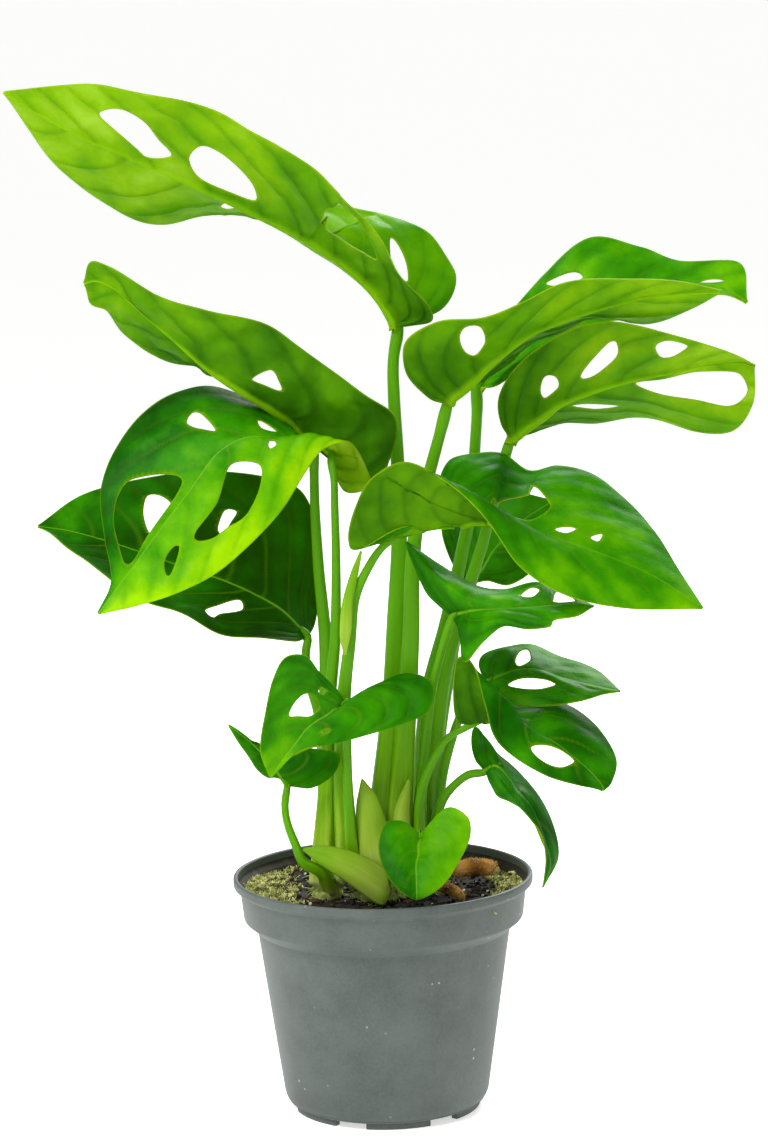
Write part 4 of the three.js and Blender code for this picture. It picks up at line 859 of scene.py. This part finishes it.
SHOOTS = {
    "shoot_left": {
        "leaf_curled_left": dict(radii=(3.6, 1.6), route=[
            (-21,-6,7), (-21,-5,19), (-21,-2,47), (-21,1,75), (-21,2,103), (-23,2,131), (-24,1,155),
            (-24,0,171),
        ]),
        "leaf_windowed": dict(radii=(3.2, 1.2), route=[
            (-24,-12,7), (-23,-12,21), (-21,-9,48), (-20,-8,76), (-17,-8,104), (-16,-10,133),
            (-16,-13,157), (-16,-17,169), (-17,-18,176),
        ]),
        "leaf_dark_left": dict(radii=(2.4, 1.4), route=[
            (-21,0,50), (-24,2,72), (-28,3,86), (-29,3,97),
        ]),
        "leaf_lowest_left": dict(radii=(2.2, 1.2), route=[
            (-21,-13,5), (-24,-22,14), (-31,-25,19), (-34,-25,26), (-37,-23,34), (-38,-21,41),
        ]),
    },
    "shoot_middle": {
        "leaf_high_left": dict(radii=(4.8, 2), route=[
            (-4,-10,8), (-2,-8,19), (1,-3,42), (5,2,78), (7,5,110), (9,5,142), (9,5,170), (8,4,198),
            (8,4,213),
        ]),
        "leaf_folded_right": dict(radii=(4.8, 2), route=[
            (4,-13,8), (6,-11,20), (8,-6,47), (11,-4,79), (13,-4,107), (14,-4,133), (17,-4,155),
            (22,-4,172), (26,-4,186),
        ]),
        "leaf_arching_right": dict(radii=(4.2, 1), route=[
            (-14,-15,9), (-14,-14,21), (-15,-14,49), (-14,-16,82), (-11,-18,106), (-9,-20,122),
            (-4,-22,134), (3,-24,144), (13,-24,149),
        ]),
        "leaf_low_left": dict(radii=(2.6, 1.4), route=[
            (-8,-16,7), (-12,-20,22), (-13,-22,47), (-13,-23,67),
        ]),
        "leaf_heart_front": dict(radii=(2.2, 1.2), route=[
            (4,-17,5), (9,-25,16), (13,-29,25),
        ]),
    },
    "shoot_right": {
        "leaf_behind_right": dict(radii=(3.6, 2), route=[
            (15,6,5), (16,9,19), (17,13,51), (20,16,79), (27,17,105), (33,17,130), (38,17,154),
            (40,17,178), (41,17,192),
        ]),
        "leaf_wide_right": dict(radii=(3.6, 1.8), route=[
            (18,2,5), (18,3,18), (20,5,44), (24,6,77), (29,6,99), (36,7,121), (42,8,139), (47,8,157),
            (51,8,172),
        ]),
        "leaf_shiny_middle": dict(radii=(2.6, 1.4), route=[
            (14,-7,5), (14,-7,19), (16,-8,47), (20,-10,80), (25,-14,101),
        ]),
        "leaf_right_upper_small": dict(radii=(2.6, 1.4), route=[
            (20,-2,3), (21,-1,17), (24,-2,46), (31,-3,70), (37,-4,81),
        ]),
        "leaf_dark_middle": dict(radii=(2.6, 1.4), route=[
            (20,8,6), (20,12,18), (24,21,57), (30,27,89), (34,29,108),
        ]),
        "leaf_dark_right_low": dict(radii=(2.4, 1.1), route=[
            (16,-9,4), (15,-12,20), (15,-14,39), (18,-15,51), (25,-15,64), (33,-14,69),
        ]),
        "leaf_drooping_right": dict(radii=(2.4, 1.3), route=[
            (19,-6,4), (19,-7,19), (22,-8,33), (26,-9,42), (34,-9,49),
        ]),
    },
}

# %% [markdown]
# ## The blades
# A blade could be sculpted, but a grid bent over measured lines keeps every leaf clean and makes
# it easy to lay the veins in. Each grid is first a flat sheet in u and v: its windows are cut there
# and its cells pulled onto their outlines. Then it is bent over its midrib and margins, its veins
# are sunk and the fields between them pillowed, and a Solidify modifier gives it its thickness,
# with a stout midrib that stands out beneath.

# %% Bending a blade over its lines
TIP_WIDTH = 1.0  # a blade's width at its two ends
UNDERSIDE_SHOWS = {"leaf_high_left", "leaf_curled_left", "leaf_folded_right", "leaf_wide_right"}


def blade_lines(shape, u):
    ends = shape["base"], shape["tip"]
    return [through([ends[0], *[s[k] for s in shape["stations"]], ends[1]], u) for k in range(3)]


def blade_surface(shape, u, v):
    """Places on a blade at arrays of u and v: each half is a parabola from midrib to margin."""
    inner = np.clip(u, 0.03, 0.97)
    left, middle, right = blade_lines(shape, inner)
    along = unit(blade_lines(shape, inner + 1e-3)[1] - blade_lines(shape, inner - 1e-3)[1])
    across = right - left
    normal = unit(np.cross(along, across))
    normal[normal[:, 1] > 0] *= -1
    sideways = unit(np.cross(normal, along))
    sideways[(sideways * across).sum(1) < 0] *= -1
    left, middle, right = blade_lines(shape, u)
    margin = np.where((v < 0)[:, None], left, right)
    s = np.abs(v)[:, None]
    swell = np.where(v < 0, shape["bulge"][0], shape["bulge"][1]) * np.sin(np.pi * u)
    control = (middle + margin) / 2 + normal * swell[:, None]
    place = middle * (1 - s) ** 2 + control * 2 * s * (1 - s) + margin * s**2
    return place + sideways * v[:, None] * TIP_WIDTH / 2


def blade_normals(shape, u, v):
    """Unit normals on the side of a blade that mostly faces the viewer, -Y."""
    step = 0.01
    u0, v0 = np.clip(u, 0.03, 0.96), np.clip(v, -0.98, 0.97)
    here = blade_surface(shape, u0, v0)
    du, dv = blade_surface(shape, u0 + step, v0) - here, blade_surface(shape, u0, v0 + step) - here
    normals = unit(np.cross(du, dv))
    return normals if normals[:, 1].sum() < 0 else -normals


def half_widths(shape, u, v):
    left, middle, right = blade_lines(shape, u)
    margin = np.where((v < 0)[:, None], left, right)
    return np.linalg.norm(margin - middle, axis=1) + TIP_WIDTH / 2


petiole_count = sum(map(len, SHOOTS.values()))
print(len(LEAVES), "blades,", len(SHEATHS), "sheaths and bracts,", petiole_count, "petioles")


# %% Cutting the windows in the flat sheet
def closed_outline(points):
    """A smooth closed outline through points, eight places to each."""
    p = np.array(points, float)
    s = np.linspace(0, 1, 8, endpoint=False)[:, None]
    a, b, c, d = (np.roll(p, k, axis=0) for k in (1, 0, -1, -2))
    rows = [
        0.5 * (2 * b[i] + (c[i] - a[i]) * s + (2 * a[i] - 5 * b[i] + 4 * c[i] - d[i]) * s**2
               + (3 * b[i] - a[i] - 3 * c[i] + d[i]) * s**3)
        for i in range(len(p))
    ]
    return np.concatenate(rows)


def inside(outline, place):
    x, y = place[:, 0, None], place[:, 1, None]
    x0, y0 = outline[:, 0], outline[:, 1]
    x1, y1 = np.roll(x0, -1), np.roll(y0, -1)
    crosses = (y0 > y) != (y1 > y)
    rise = np.where(np.abs(y1 - y0) < 1e-12, 1e-12, y1 - y0)
    return (crosses & (x < (x1 - x0) * (y - y0) / rise + x0)).sum(1) % 2 == 1


def nearest_on(outline, place):
    """The nearest place on a closed outline and its distance."""
    start, way = outline[None], (np.roll(outline, -1, axis=0) - outline)[None]
    share = ((place[:, None] - start) * way).sum(2) / np.maximum((way**2).sum(2), 1e-12)
    spots = start + np.clip(share, 0, 1)[..., None] * way
    away = np.linalg.norm(place[:, None] - spots, axis=2)
    best = away.argmin(1)
    return spots[np.arange(len(place)), best], away.min(1)


def cut_windows(sheet, outlines):
    """Deletes the cells inside each outline and pulls the cells round it onto the outline."""
    for outline in outlines:
        sheet.faces.ensure_lookup_table()
        centres = np.array([f.calc_center_median()[:2] for f in sheet.faces])
        gone = inside(outline, centres)
        cells = [f for f, out in zip(sheet.faces, gone) if out]
        if not cells:
            continue
        touched = {v for f in cells for v in f.verts}
        bmesh.ops.delete(sheet, geom=cells, context="FACES")
        rim = [v for v in touched if v.is_valid]
        spots, _ = nearest_on(outline, np.array([v.co[:2] for v in rim]))
        for vert, spot in zip(rim, spots):
            vert.co.xy = spot
        ring = {w for v in rim for e in v.link_edges for w in e.verts} - set(rim)
        ring = [v for v in ring if not v.is_boundary]
        bmesh.ops.smooth_vert(sheet, verts=ring, factor=0.5, use_axis_x=True, use_axis_y=True)


# %% [markdown]
# ### Veins
# Side veins leave the midrib at a steep angle and bow towards the tip, one every 14 to 18 mm, and
# the two halves take turns. On the upper side they are shallow grooves, the fields between them
# are pillows, and the same bends show in reverse beneath. All of it is one height over the sheet.

# %% The flat sheet and its veins
CELL = 0.85  # millimetres between grid lines


def flat_sheet(shape):
    """A blade laid flat in millimetres, its window outlines, its length and its mean half width."""
    _, length = evenly([shape["base"], *[s[1] for s in shape["stations"]], shape["tip"]], 3)
    ends = np.linspace(0.02, 0.98, 40)
    widest = [half_widths(shape, ends, np.full(40, side)).max() for side in (-1.0, 1.0)]
    half = float(np.mean(widest))
    sheet = bmesh.new()
    columns, rows = max(24, round(length / CELL)), 2 * max(10, round(max(widest) / CELL))
    bmesh.ops.create_grid(sheet, x_segments=columns, y_segments=rows, size=1)
    for vert in sheet.verts:
        vert.co = ((vert.co.x + 1) / 2 * length, vert.co.y * half, 0)
    outlines = [closed_outline(w) * np.array([length, half]) for w in shape["windows"]]
    cut_windows(sheet, outlines)
    sheet.verts.ensure_lookup_table()
    return sheet, outlines, length, half


def side_veins(u, v, length, half, widths, spacing):
    """Distance in mm to the nearest side vein, and the pillow between veins from 0 to 1."""
    count = max(4, round(length / spacing))
    # Towards the tip the local width takes over, so that the last veins don't crowd together.
    tipward = np.clip((u - 0.4) / 0.4, 0, 1)
    lean = 1.1 * (half * (1 - tipward) + widths * tipward) / length
    phase = count * (u - lean * np.abs(v) ** 1.5) + np.where(v < 0, 0.5, 0.0)
    away = np.abs(phase - np.round(phase)) / count * length
    return away, 0.5 - 0.5 * np.cos(2 * np.pi * phase)


def near(distance, width):
    """1 on a line, falling off softly over width."""
    return np.exp(-((distance / width) ** 2))


print("blade grids have cells of", CELL, "mm")

# %% Vein relief, in millimetres
PILLOW_RISE, GROOVE_DEPTH, GROOVE_WIDTH = 0.28, 0.16, 1.1
FURROW_DEPTH, FURROW_WIDTH = 0.5, 1.2  # over the midrib
LUMPS = [(1.3, 17, 0), (0.5, 8, 5)]  # height, width, and which layer of noise
CRUMPLE_HEIGHT, CRUMPLE_WIDTH = 1.1, 7
WAVE_HEIGHT, WAVE_LENGTH = 0.9, 31  # along the margins


def blade_relief(u, v, reach, away, pillow, body, places, length, seed, rumple):
    height = PILLOW_RISE * pillow * body - GROOVE_DEPTH * near(away, GROOVE_WIDTH) * body
    height -= FURROW_DEPTH * near(reach, FURROW_WIDTH) * (1 - u)
    height += sum(rise * cloud(places, width, seed + layer) for rise, width, layer in LUMPS) * body
    height += CRUMPLE_HEIGHT * max(0.0, rumple - 1) * cloud(places, CRUMPLE_WIDTH, seed + 6) * body
    waves = np.sin(2 * np.pi * (u * length / WAVE_LENGTH + seed / 10)) + 0.6 * cloud(places, 14, seed + 1)
    return height + WAVE_HEIGHT * np.abs(v) ** 3 * waves


print("side veins lie", GROOVE_DEPTH, "mm deep between pillows of", PILLOW_RISE, "mm")

# %% What the skins and the thickness read
def skin_values(u, v, reach, to_edge, away, pillow, ends_off, places, seed, size, rib, tones):
    """tone, vein, rib and rim for each place of a blade, all from 0 to 1."""
    # The tone, its rise from base to tip and its rise across the blade paint light and shade.
    shade = tones[0] + tones[1] * (u - 0.5) + tones[2] * v
    shade += 0.27 * cloud(places, 22, seed + 2) + 0.1 * cloud(places, 9, seed + 3)
    # Painted shade of the relief: lighter on the pillows between side veins, darker in a soft band along
    # each vein.
    shade += min(1.0, size) * (0.06 * (pillow - 0.5) - 0.08 * near(away, 1.5))
    vein = 0.3 * near(away, 0.66) * np.clip(1.15 - np.abs(v) ** 2, 0, 1)
    return {
        "tone": np.clip(shade, 0, 1),
        "vein": np.clip(vein * ends_off, 0, 1),
        "rib": np.clip(near(reach, 0.45 + 0.55 * rib * (1 - u) ** 1.3), 0, 1),
        "rim": np.clip(0.7 - to_edge / 0.7, 0, 0.5),
    }


def thickness_share(u, reach, away, body, thickness, rib):
    """The blade's thickness as a share of its midrib's, thin between the veins."""
    stout = near(reach, 0.45 + 0.45 * rib * (1 - u)) * (1 - 0.8 * u)
    slight = near(away, 0.95) * 0.2 * body
    return np.clip(thickness / rib + (1 - thickness / rib) * np.maximum(stout, slight), 0, 1)


print("the skins read tone, vein, rib and rim; Solidify reads the vertex group thick")

# %% Making a blade
FULL_SIZE = 22  # half width in mm of a blade with full relief
FADE = 5  # millimetres over which the relief fades to the midrib and to the edges


def make_blade(name, shape, materials, tones, thickness=0.42, rib=1.8, rumple=1.0, spacing=14):
    """tones is the tone, how much it rises from base to tip, and from midrib to right margin, with painted
    light and shade in all three.
    """
    sheet, outlines, length, half = flat_sheet(shape)
    flat = np.array([v.co[:2] for v in sheet.verts])
    u, v = np.clip(flat[:, 0] / length, 0, 1), np.clip(flat[:, 1] / half, -1, 1)
    normals, places = blade_normals(shape, u, v), blade_surface(shape, u, v)
    upper = -1 if name in UNDERSIDE_SHOWS else 1
    widths = half_widths(shape, u, v)
    reach, to_edge = np.abs(v) * widths, (1 - np.abs(v)) * widths
    for outline in outlines:
        to_edge = np.minimum(to_edge, nearest_on(outline, flat)[1])
    away, pillow = side_veins(u, v, length, half, widths, spacing)
    size = rumple * min(1.0, half / FULL_SIZE)
    ends_off = np.clip(np.sin(np.pi * np.clip(u, 0.01, 0.99)), 0, 1) ** 0.5
    body = np.clip(reach / FADE, 0, 1) * np.clip(to_edge / FADE, 0, 1)
    seed = sum(map(ord, name)) % 97
    height = blade_relief(u, v, reach, away, pillow, body, places, length, seed, rumple)
    places = places + normals * (upper * size * height * ends_off)[:, None]
    values = skin_values(
        u, v, reach, to_edge, away, pillow, ends_off, places, seed, size, rib, tones
    )
    thick = thickness_share(u, reach, away, body, thickness, rib)
    layers = {key: sheet.verts.layers.float.new(key) for key in values}
    weights = sheet.verts.layers.deform.verify()
    uv = sheet.loops.layers.uv.new("UVMap")
    for face in sheet.faces:
        for loop in face.loops:
            loop[uv].uv = loop.vert.co.yx
    for i, vert in enumerate(sheet.verts):
        vert.co = places[i]
        vert.co.z += SOIL_LEVEL
        for key, layer in layers.items():
            vert[layer] = float(values[key][i])
        vert[weights][0] = float(thick[i])
    sheet.normal_update()
    facing = sum((Vector(normals[i]).dot(vert.normal) for i, vert in enumerate(sheet.verts)), 0.0)
    if facing * upper < 0:
        bmesh.ops.reverse_faces(sheet, faces=sheet.faces)
    piece = finish_piece(name + "_blade", sheet, materials, [name])
    piece.vertex_groups.new(name="thick")
    shell = piece.modifiers.new("blade_thickness", "SOLIDIFY")
    shell.thickness, shell.offset = rib * MM, -1
    shell.vertex_group, shell.thickness_vertex_group = "thick", 0
    shell.material_offset, shell.material_offset_rim = 1, 2
    return piece


# %% The sixteen blades
# The first value is how bright a blade is painted: its tissue's colour together with painted light and
# shade, bright where a blade stands in the light, dark where others shadow it. The next two are how much
# that rises from base to tip and from midrib to right margin, painted light and shade across the
# blade. The last is how rumpled the blade is.
BLADE_LOOKS = {
    "leaf_high_left": (0.52, 0.5, -0.05, 1.4), "leaf_curled_left": (0.28, 0.65, 0, 1.9),
    "leaf_windowed": (0.46, 0.4, 0.42, 1), "leaf_dark_left": (0.13, 0.24, 0, 1),
    "leaf_low_left": (0.38, 0.35, 0, 1), "leaf_lowest_left": (0.36, 0, 0, 1),
    "leaf_arching_right": (0.44, 0.4, 0.05, 0.7), "leaf_shiny_middle": (0.44, 0.3, 0, 1.3),
    "leaf_folded_right": (0.46, 0.3, 0, 1), "leaf_behind_right": (0.56, 0.1, 0, 1),
    "leaf_wide_right": (0.46, 0.4, 0, 1), "leaf_right_upper_small": (0.42, 0.1, 0, 1.4),
    "leaf_dark_middle": (0.36, 0.2, 0, 1.3), "leaf_dark_right_low": (0.28, 0.1, 0, 1),
    "leaf_heart_front": (0.55, 0, 0.16, 0.4), "leaf_drooping_right": (0.22, 0, 0, 1),
}
YOUNG_VEINS, OLD_VEINS = 18, 14  # millimetres between side veins
RIB_SHARE = 1.9  # a midrib's depth at its foot, in radii of its petiole
PETIOLES = {leaf: petiole for shoot in SHOOTS.values() for leaf, petiole in shoot.items()}
for name, shape in LEAVES.items():
    # A blade whose underside shows takes the brighter upper skin, with its painted light.
    shows_underside = name in UNDERSIDE_SHOWS
    *tones, rumple = BLADE_LOOKS[name]
    make_blade(
        name, shape, [lit_upper_skin if shows_underside else upper_skin, under_skin, rim_skin], tones,
        rib=RIB_SHARE * PETIOLES[name]["radii"][1], rumple=rumple,
        spacing=YOUNG_VEINS if shows_underside else OLD_VEINS,
    )

# %% [markdown]
# ### Sheaths and the bract
# Where a new leaf has come out, the old petiole's sheath stays round it as a thin pale wrap that
# dries at its edges, and a thin bract stands higher up. They bend like small blades, but they have
# long fibres in place of side veins, and hardly any relief.

# %% The sheaths
GREENNESS = {"sheath_middle": 0.42, "sheath_right": 0.38, "sheath_fallen": 0.4, "bract": 0.5}
for name, shape in SHEATHS.items():
    make_blade(
        name, shape, [sheath_skin] * 3, (GREENNESS[name], 0.3, 0), thickness=0.4, rib=0.6, rumple=0.5,
        spacing=40,
    )

# %% [markdown]
# ## The shoots
# Each petiole is a tube that tapers from its sheathed foot to a slight knuckle under the blade. Its
# inner side has a shallow channel with a fine ridge on each side, the closed edges of its sheath.
# A grid rolled up along the route gives even rings, and its last ring tapers into the midrib.

# %% Rolling a grid into a stalk
# The channel and the ridges are placed round the stalk in radians from the side that faces out,
# and they fade out at a share of its length.
CHANNEL_WIDTH, RIDGE_AT, RIDGE_WIDTH, RIDGE_SHARE, FADE_OUT = 0.42, 0.85, 0.2, 0.9, 0.75


def roll_stalk(bm, route, radius_at, sides, ring_gap, channel, face_angle, tone_at, wobble=0.0):
    """A tube along route. channel is the depth of its groove as a share of the radius."""
    _, length = evenly(route, 2)
    rings = max(6, round(length / ring_gap))
    centres, _ = evenly(route, rings + 1)
    made = bmesh.ops.create_grid(bm, x_segments=sides, y_segments=rings, size=1)["verts"]
    tangents = unit(np.gradient(centres, axis=0))
    towards = np.array([math.sin(face_angle), -math.cos(face_angle), 0.12])
    fronts = unit(towards - tangents * (tangents @ towards)[:, None])
    sidesways = np.cross(tangents, fronts)
    uv, tone = bm.loops.layers.uv["UVMap"], bm.verts.layers.float["tone"]
    spots = {}
    for vert in made:
        angle, ring = math.pi * vert.co.x, round((vert.co.y + 1) / 2 * rings)
        t = ring / rings
        spots[vert] = (angle, t * length)
        radius = radius_at(t, length)
        low = max(0.0, 1 - t / FADE_OUT)
        groove = channel * (0.35 + 0.65 * low) * math.exp(-((angle / CHANNEL_WIDTH) ** 2))
        beside = (abs(angle) - RIDGE_AT) / RIDGE_WIDTH
        ridge = RIDGE_SHARE * channel * low**0.5 * math.exp(-(beside**2))
        swell = 1 - groove + ridge
        if wobble:
            spot = Vector((3 * math.cos(angle), 3 * math.sin(angle), t * length / 4))
            swell += wobble * noise.noise(spot)
        way = fronts[ring] * math.cos(angle) + sidesways[ring] * math.sin(angle)
        vert[tone] = tone_at(t) - 0.5 * ridge
        vert.co = Vector(centres[ring] + way * radius * swell)
    for face in {f for v in made for f in v.link_faces}:
        for loop in face.loops:
            angle, along = spots[loop.vert]
            loop[uv].uv = (angle * radius_at(0.5, length), along)
    bmesh.ops.remove_doubles(bm, verts=made, dist=1e-3)
    kept = [v for v in made if v.is_valid]
    open_edges = {e for v in kept for e in v.link_edges if e.is_boundary}
    bmesh.ops.holes_fill(bm, edges=list(open_edges), sides=0)
    faces = list({f for v in kept for f in v.link_faces})
    bmesh.ops.recalc_face_normals(bm, faces=faces)


def growing_mesh():
    bm = bmesh.new()
    bm.loops.layers.uv.new("UVMap")
    bm.verts.layers.float.new("tone")
    return bm


hair = template(bmesh.ops.create_cone, cap_ends=True, segments=3, radius1=1, radius2=0.3, depth=1)


def bristle(bm, spot, way, length, thick):
    """Stamps one hair that stands on spot and points along way."""
    turn = way.to_track_quat("Z", "Y").to_matrix().to_4x4()
    shape = Matrix.Diagonal((thick, thick, length, 1))
    stamp(bm, hair, Matrix.Translation(spot + way * length / 2) @ turn @ shape)


print("a channel is", round(2 * CHANNEL_WIDTH, 2), "radians wide; its ridges are", RIDGE_AT, "out")


# %% The three shoots
FOOT_DEPTH, CROWN_HEIGHT = 14, 12
PETIOLE_SIDES, PETIOLE_RING_GAP, PETIOLE_CHANNEL = 26, 1.6, 0.22
FIBRE_LENGTH, FIBRE_RADIUS = (2, 5), 0.22
# Each foot is x, y and radius. FACING is the way a shoot's channels look, in radians, and WRAP is
# how much the sheaths thicken its petioles at the foot.
FEET = {"shoot_left": (-22, -9, 6.5), "shoot_middle": (-1.5, -14, 10), "shoot_right": (17, -2, 7.5)}
FACING = {"shoot_left": -0.5, "shoot_middle": 0.15, "shoot_right": 0.6}
WRAP = {"shoot_left": 0.55, "shoot_middle": 0.3, "shoot_right": 0.4}
FIBRES = {"shoot_left": 60, "shoot_middle": 260, "shoot_right": 60}


def raised(points):
    return [(x, y, z + SOIL_LEVEL) for x, y, z in points]


def petiole_radius(radii, wrap):
    """wrap is how much the sheath thickens the petiole at its foot."""
    def radius_at(t, length):
        knuckle = 1 + 0.16 * math.exp(-(((1 - t) * length - 9) / 5) ** 2)
        tip = min(1.0, 0.45 + (1 - t) * length / 5)
        sheathed = 1 + wrap * max(0.0, 1 - t / 0.5) ** 1.5
        return (radii[0] + (radii[1] - radii[0]) * t) * knuckle * tip * sheathed

    return radius_at


for shoot, petioles in SHOOTS.items():
    bm = growing_mesh()
    for leaf, petiole in petioles.items():
        blade = LEAVES[leaf]
        route = raised([*petiole["route"], blade["base"], blade["stations"][0][1]])
        roll_stalk(
            bm, route, petiole_radius(petiole["radii"], WRAP[shoot]), PETIOLE_SIDES,
            PETIOLE_RING_GAP, PETIOLE_CHANNEL, FACING[shoot], lambda t: min(0.72, 1.3 * t**0.75),
        )
    x, y, radius = FEET[shoot]
    foot = raised([(x, y, -FOOT_DEPTH), (x, y, -4), (x, y, 4), (x * 0.98, y, CROWN_HEIGHT)])

    def foot_radius(t, length, radius=radius):
        scars = 0.035 * math.sin(t * length * 1.6)
        flare = 1 + 0.08 * math.exp(-(((t * length - FOOT_DEPTH - 3) / 5) ** 2))
        return radius * (1 - 0.25 * t) * (1 + scars) * flare * min(1.0, 0.55 + (1 - t) * length / 6)

    roll_stalk(bm, foot, foot_radius, 40, 0.9, 0.0, 0, lambda t: 0.0, wobble=0.12)
    # Pale fibres of old sheaths stick out round the crown.
    for _ in range(FIBRES[shoot]):
        turn = random.uniform(-math.pi, 0)
        out = Vector((math.cos(turn), math.sin(turn), 0))
        stray = Vector((random.gauss(0, 0.5), random.gauss(0, 0.3), random.uniform(-1.6, 1.0)))
        way = (out + stray).normalized()
        spot = Vector((x, y, SOIL_LEVEL + random.uniform(-1, 11)))
        spot += out * radius * random.uniform(0.85, 1.05)
        bristle(bm, spot, way, random.uniform(*FIBRE_LENGTH), FIBRE_RADIUS)
    finish_piece(shoot + "_growth", bm, [stalk_skin], [shoot])

# %% [markdown]
# ## The aerial roots
# Thick brown roots run over the soil from the right shoot to the wall. They are corky, uneven and
# covered in short hairs, so each is a rolled grid with a wobble and hundreds of thin cones.

# %% The two roots
ROOT_LIFT = {"aerial_root_right": 2.0, "aerial_root_front": 0.5}
HAIRS = {"aerial_root_right": 1500, "aerial_root_front": 450}
HAIR_LENGTH, HAIR_RADIUS, HAIR_TONE = (0.5, 1.3), 0.13, 0.9
for name, hairs in HAIRS.items():
    low, high = (Vector(corner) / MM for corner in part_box(name))
    radius = (high.z - low.z) / 2 - 0.6
    ys = (low.y + radius, high.y - radius)
    near_y, far_y = ys if name == "aerial_root_right" else ys[::-1]
    level = low.z + radius + ROOT_LIFT[name]
    start, end = Vector((low.x + radius, near_y, level)), Vector((high.x - radius, far_y, level))
    route = [start.lerp(end, t) + Vector((0, 0, 1.2 * (1 - (2 * t - 1) ** 2))) for t in (0, 0.3, 0.65, 1)]
    bm = growing_mesh()

    def root_radius(t, length, radius=radius):
        return radius * (0.72 + 0.28 * math.sin(math.pi * t)) * (1 if 0.02 < t < 0.98 else 0.6)

    roll_stalk(
        bm, [tuple(p) for p in route], root_radius, 24, 0.8, 0.0, 0,
        lambda t: 0.35 + 0.3 * math.sin(9 * t), wobble=0.22,
    )
    body = len(bm.verts)
    for _ in range(hairs):
        t = random.random()
        middle = Vector(through(route, [t])[0])
        way = Vector((random.gauss(0, 1), random.gauss(0, 1), random.gauss(0.4, 1))).normalized()
        spot = middle + way * root_radius(t, 1) * 0.92
        bristle(bm, spot, way, random.uniform(*HAIR_LENGTH), HAIR_RADIUS)
    tone = bm.verts.layers.float["tone"]
    bm.verts.ensure_lookup_table()
    for vert in bm.verts[body:]:
        vert[tone] = HAIR_TONE
    finish_piece(name + "_hairy", bm, [root_skin], [name])

# %% [markdown]
# ## Light, floor and camera
# A lit white table that rises all round like a sweep of paper, and a white surround, give the even
# light of a product studio. One large soft light stands high on the left in front, which puts the
# broad sheen on the leaves, and one behind on the right lets the blades glow. The camera stands
# 1.4 m away, looks down a little and is slightly rolled; its lens angle is narrow, so the pot's
# ellipses stay flat. The sweep's curve is in millimetres; lights and camera are in metres.

# %% The floor and the lights
SWEEP_CURVE = [(0, 0), (6000, 0), (9000, 400), (12000, 1600), (14000, 3200)]
TABLE_GLOW, SURROUND_GLOW = 0.55, 0.42
sweep = bmesh.new()
wire(sweep, SWEEP_CURVE)
turned(sweep, 360, 64, whole=True)
bmesh.ops.recalc_face_normals(sweep, faces=sweep.faces)
if sum(face.normal.z for face in sweep.faces) < 0:
    bmesh.ops.reverse_faces(sweep, faces=sweep.faces)
bmesh.ops.scale(sweep, vec=(MM, MM, MM), verts=sweep.verts)
floor_mesh = bpy.data.meshes.new("floor")
sweep.to_mesh(floor_mesh)
floor_mesh.shade_smooth()
paper, tree = new_finish("white_acrylic_light_table")
sheet = add(
    tree,
    "BsdfPrincipled",
    {
        "Base Color": srgb("#f4f4f2"), "Roughness": 0.9,
        "Emission Color": srgb("#ffffff"), "Emission Strength": TABLE_GLOW,
    },
)
close_finish(tree, sheet.outputs[0])
floor_mesh.materials.append(paper)
floor = bpy.data.objects.new("floor", floor_mesh)
bpy.context.scene.collection.objects.link(floor)

surround = bpy.data.worlds.new("white_surround")
surround.use_nodes = True
glow = surround.node_tree.nodes["Background"]
glow.inputs["Color"].default_value = srgb("#ffffff")
glow.inputs["Strength"].default_value = SURROUND_GLOW
bpy.context.scene.world = surround


def softbox(name, place, aim, size, watts):
    light = bpy.data.lights.new(name, "AREA")
    light.shape, light.size, light.energy = "DISK", size, watts
    made = bpy.data.objects.new(name, light)
    made.location = place
    made.rotation_euler = (Vector(aim) - Vector(place)).to_track_quat("-Z", "Y").to_euler()
    bpy.context.scene.collection.objects.link(made)


SOFTBOX_WIDTH = 0.8
softbox("key_softbox", (-0.8, -0.9, 1.5), (0, 0, 0.25), SOFTBOX_WIDTH, 29)
softbox("back_softbox", (0.5, 1.2, 1.2), (0, 0, 0.28), SOFTBOX_WIDTH, 31)
bpy.context.scene.view_settings.view_transform = "Standard"
print("floor and two soft lights")

# %% The camera
DISTANCE, PITCH, ROLL = 1.4, math.radians(8.8), math.radians(1.1)
AIM = Vector((0.00275, 0, 0.2173))
HALF_FRAME = 571 / 3540  # half the frame's height over its distance
forward = Vector((0, math.cos(PITCH), -math.sin(PITCH)))
level, rise = Vector((1, 0, 0)), Vector((0, math.sin(PITCH), math.cos(PITCH)))
right = level * math.cos(ROLL) - rise * math.sin(ROLL)
up = level * math.sin(ROLL) + rise * math.cos(ROLL)
camera = bpy.data.objects.new("camera", bpy.data.cameras.new("camera"))
bpy.context.scene.collection.objects.link(camera)
turn = Matrix((right, up, -forward)).transposed().to_4x4()
camera.matrix_world = Matrix.Translation(AIM - forward * DISTANCE) @ turn
camera.data.sensor_fit = "VERTICAL"
camera.data.angle = 2 * math.atan(HALF_FRAME)
bpy.context.scene.camera = camera
print("camera at", [round(c, 3) for c in camera.location])
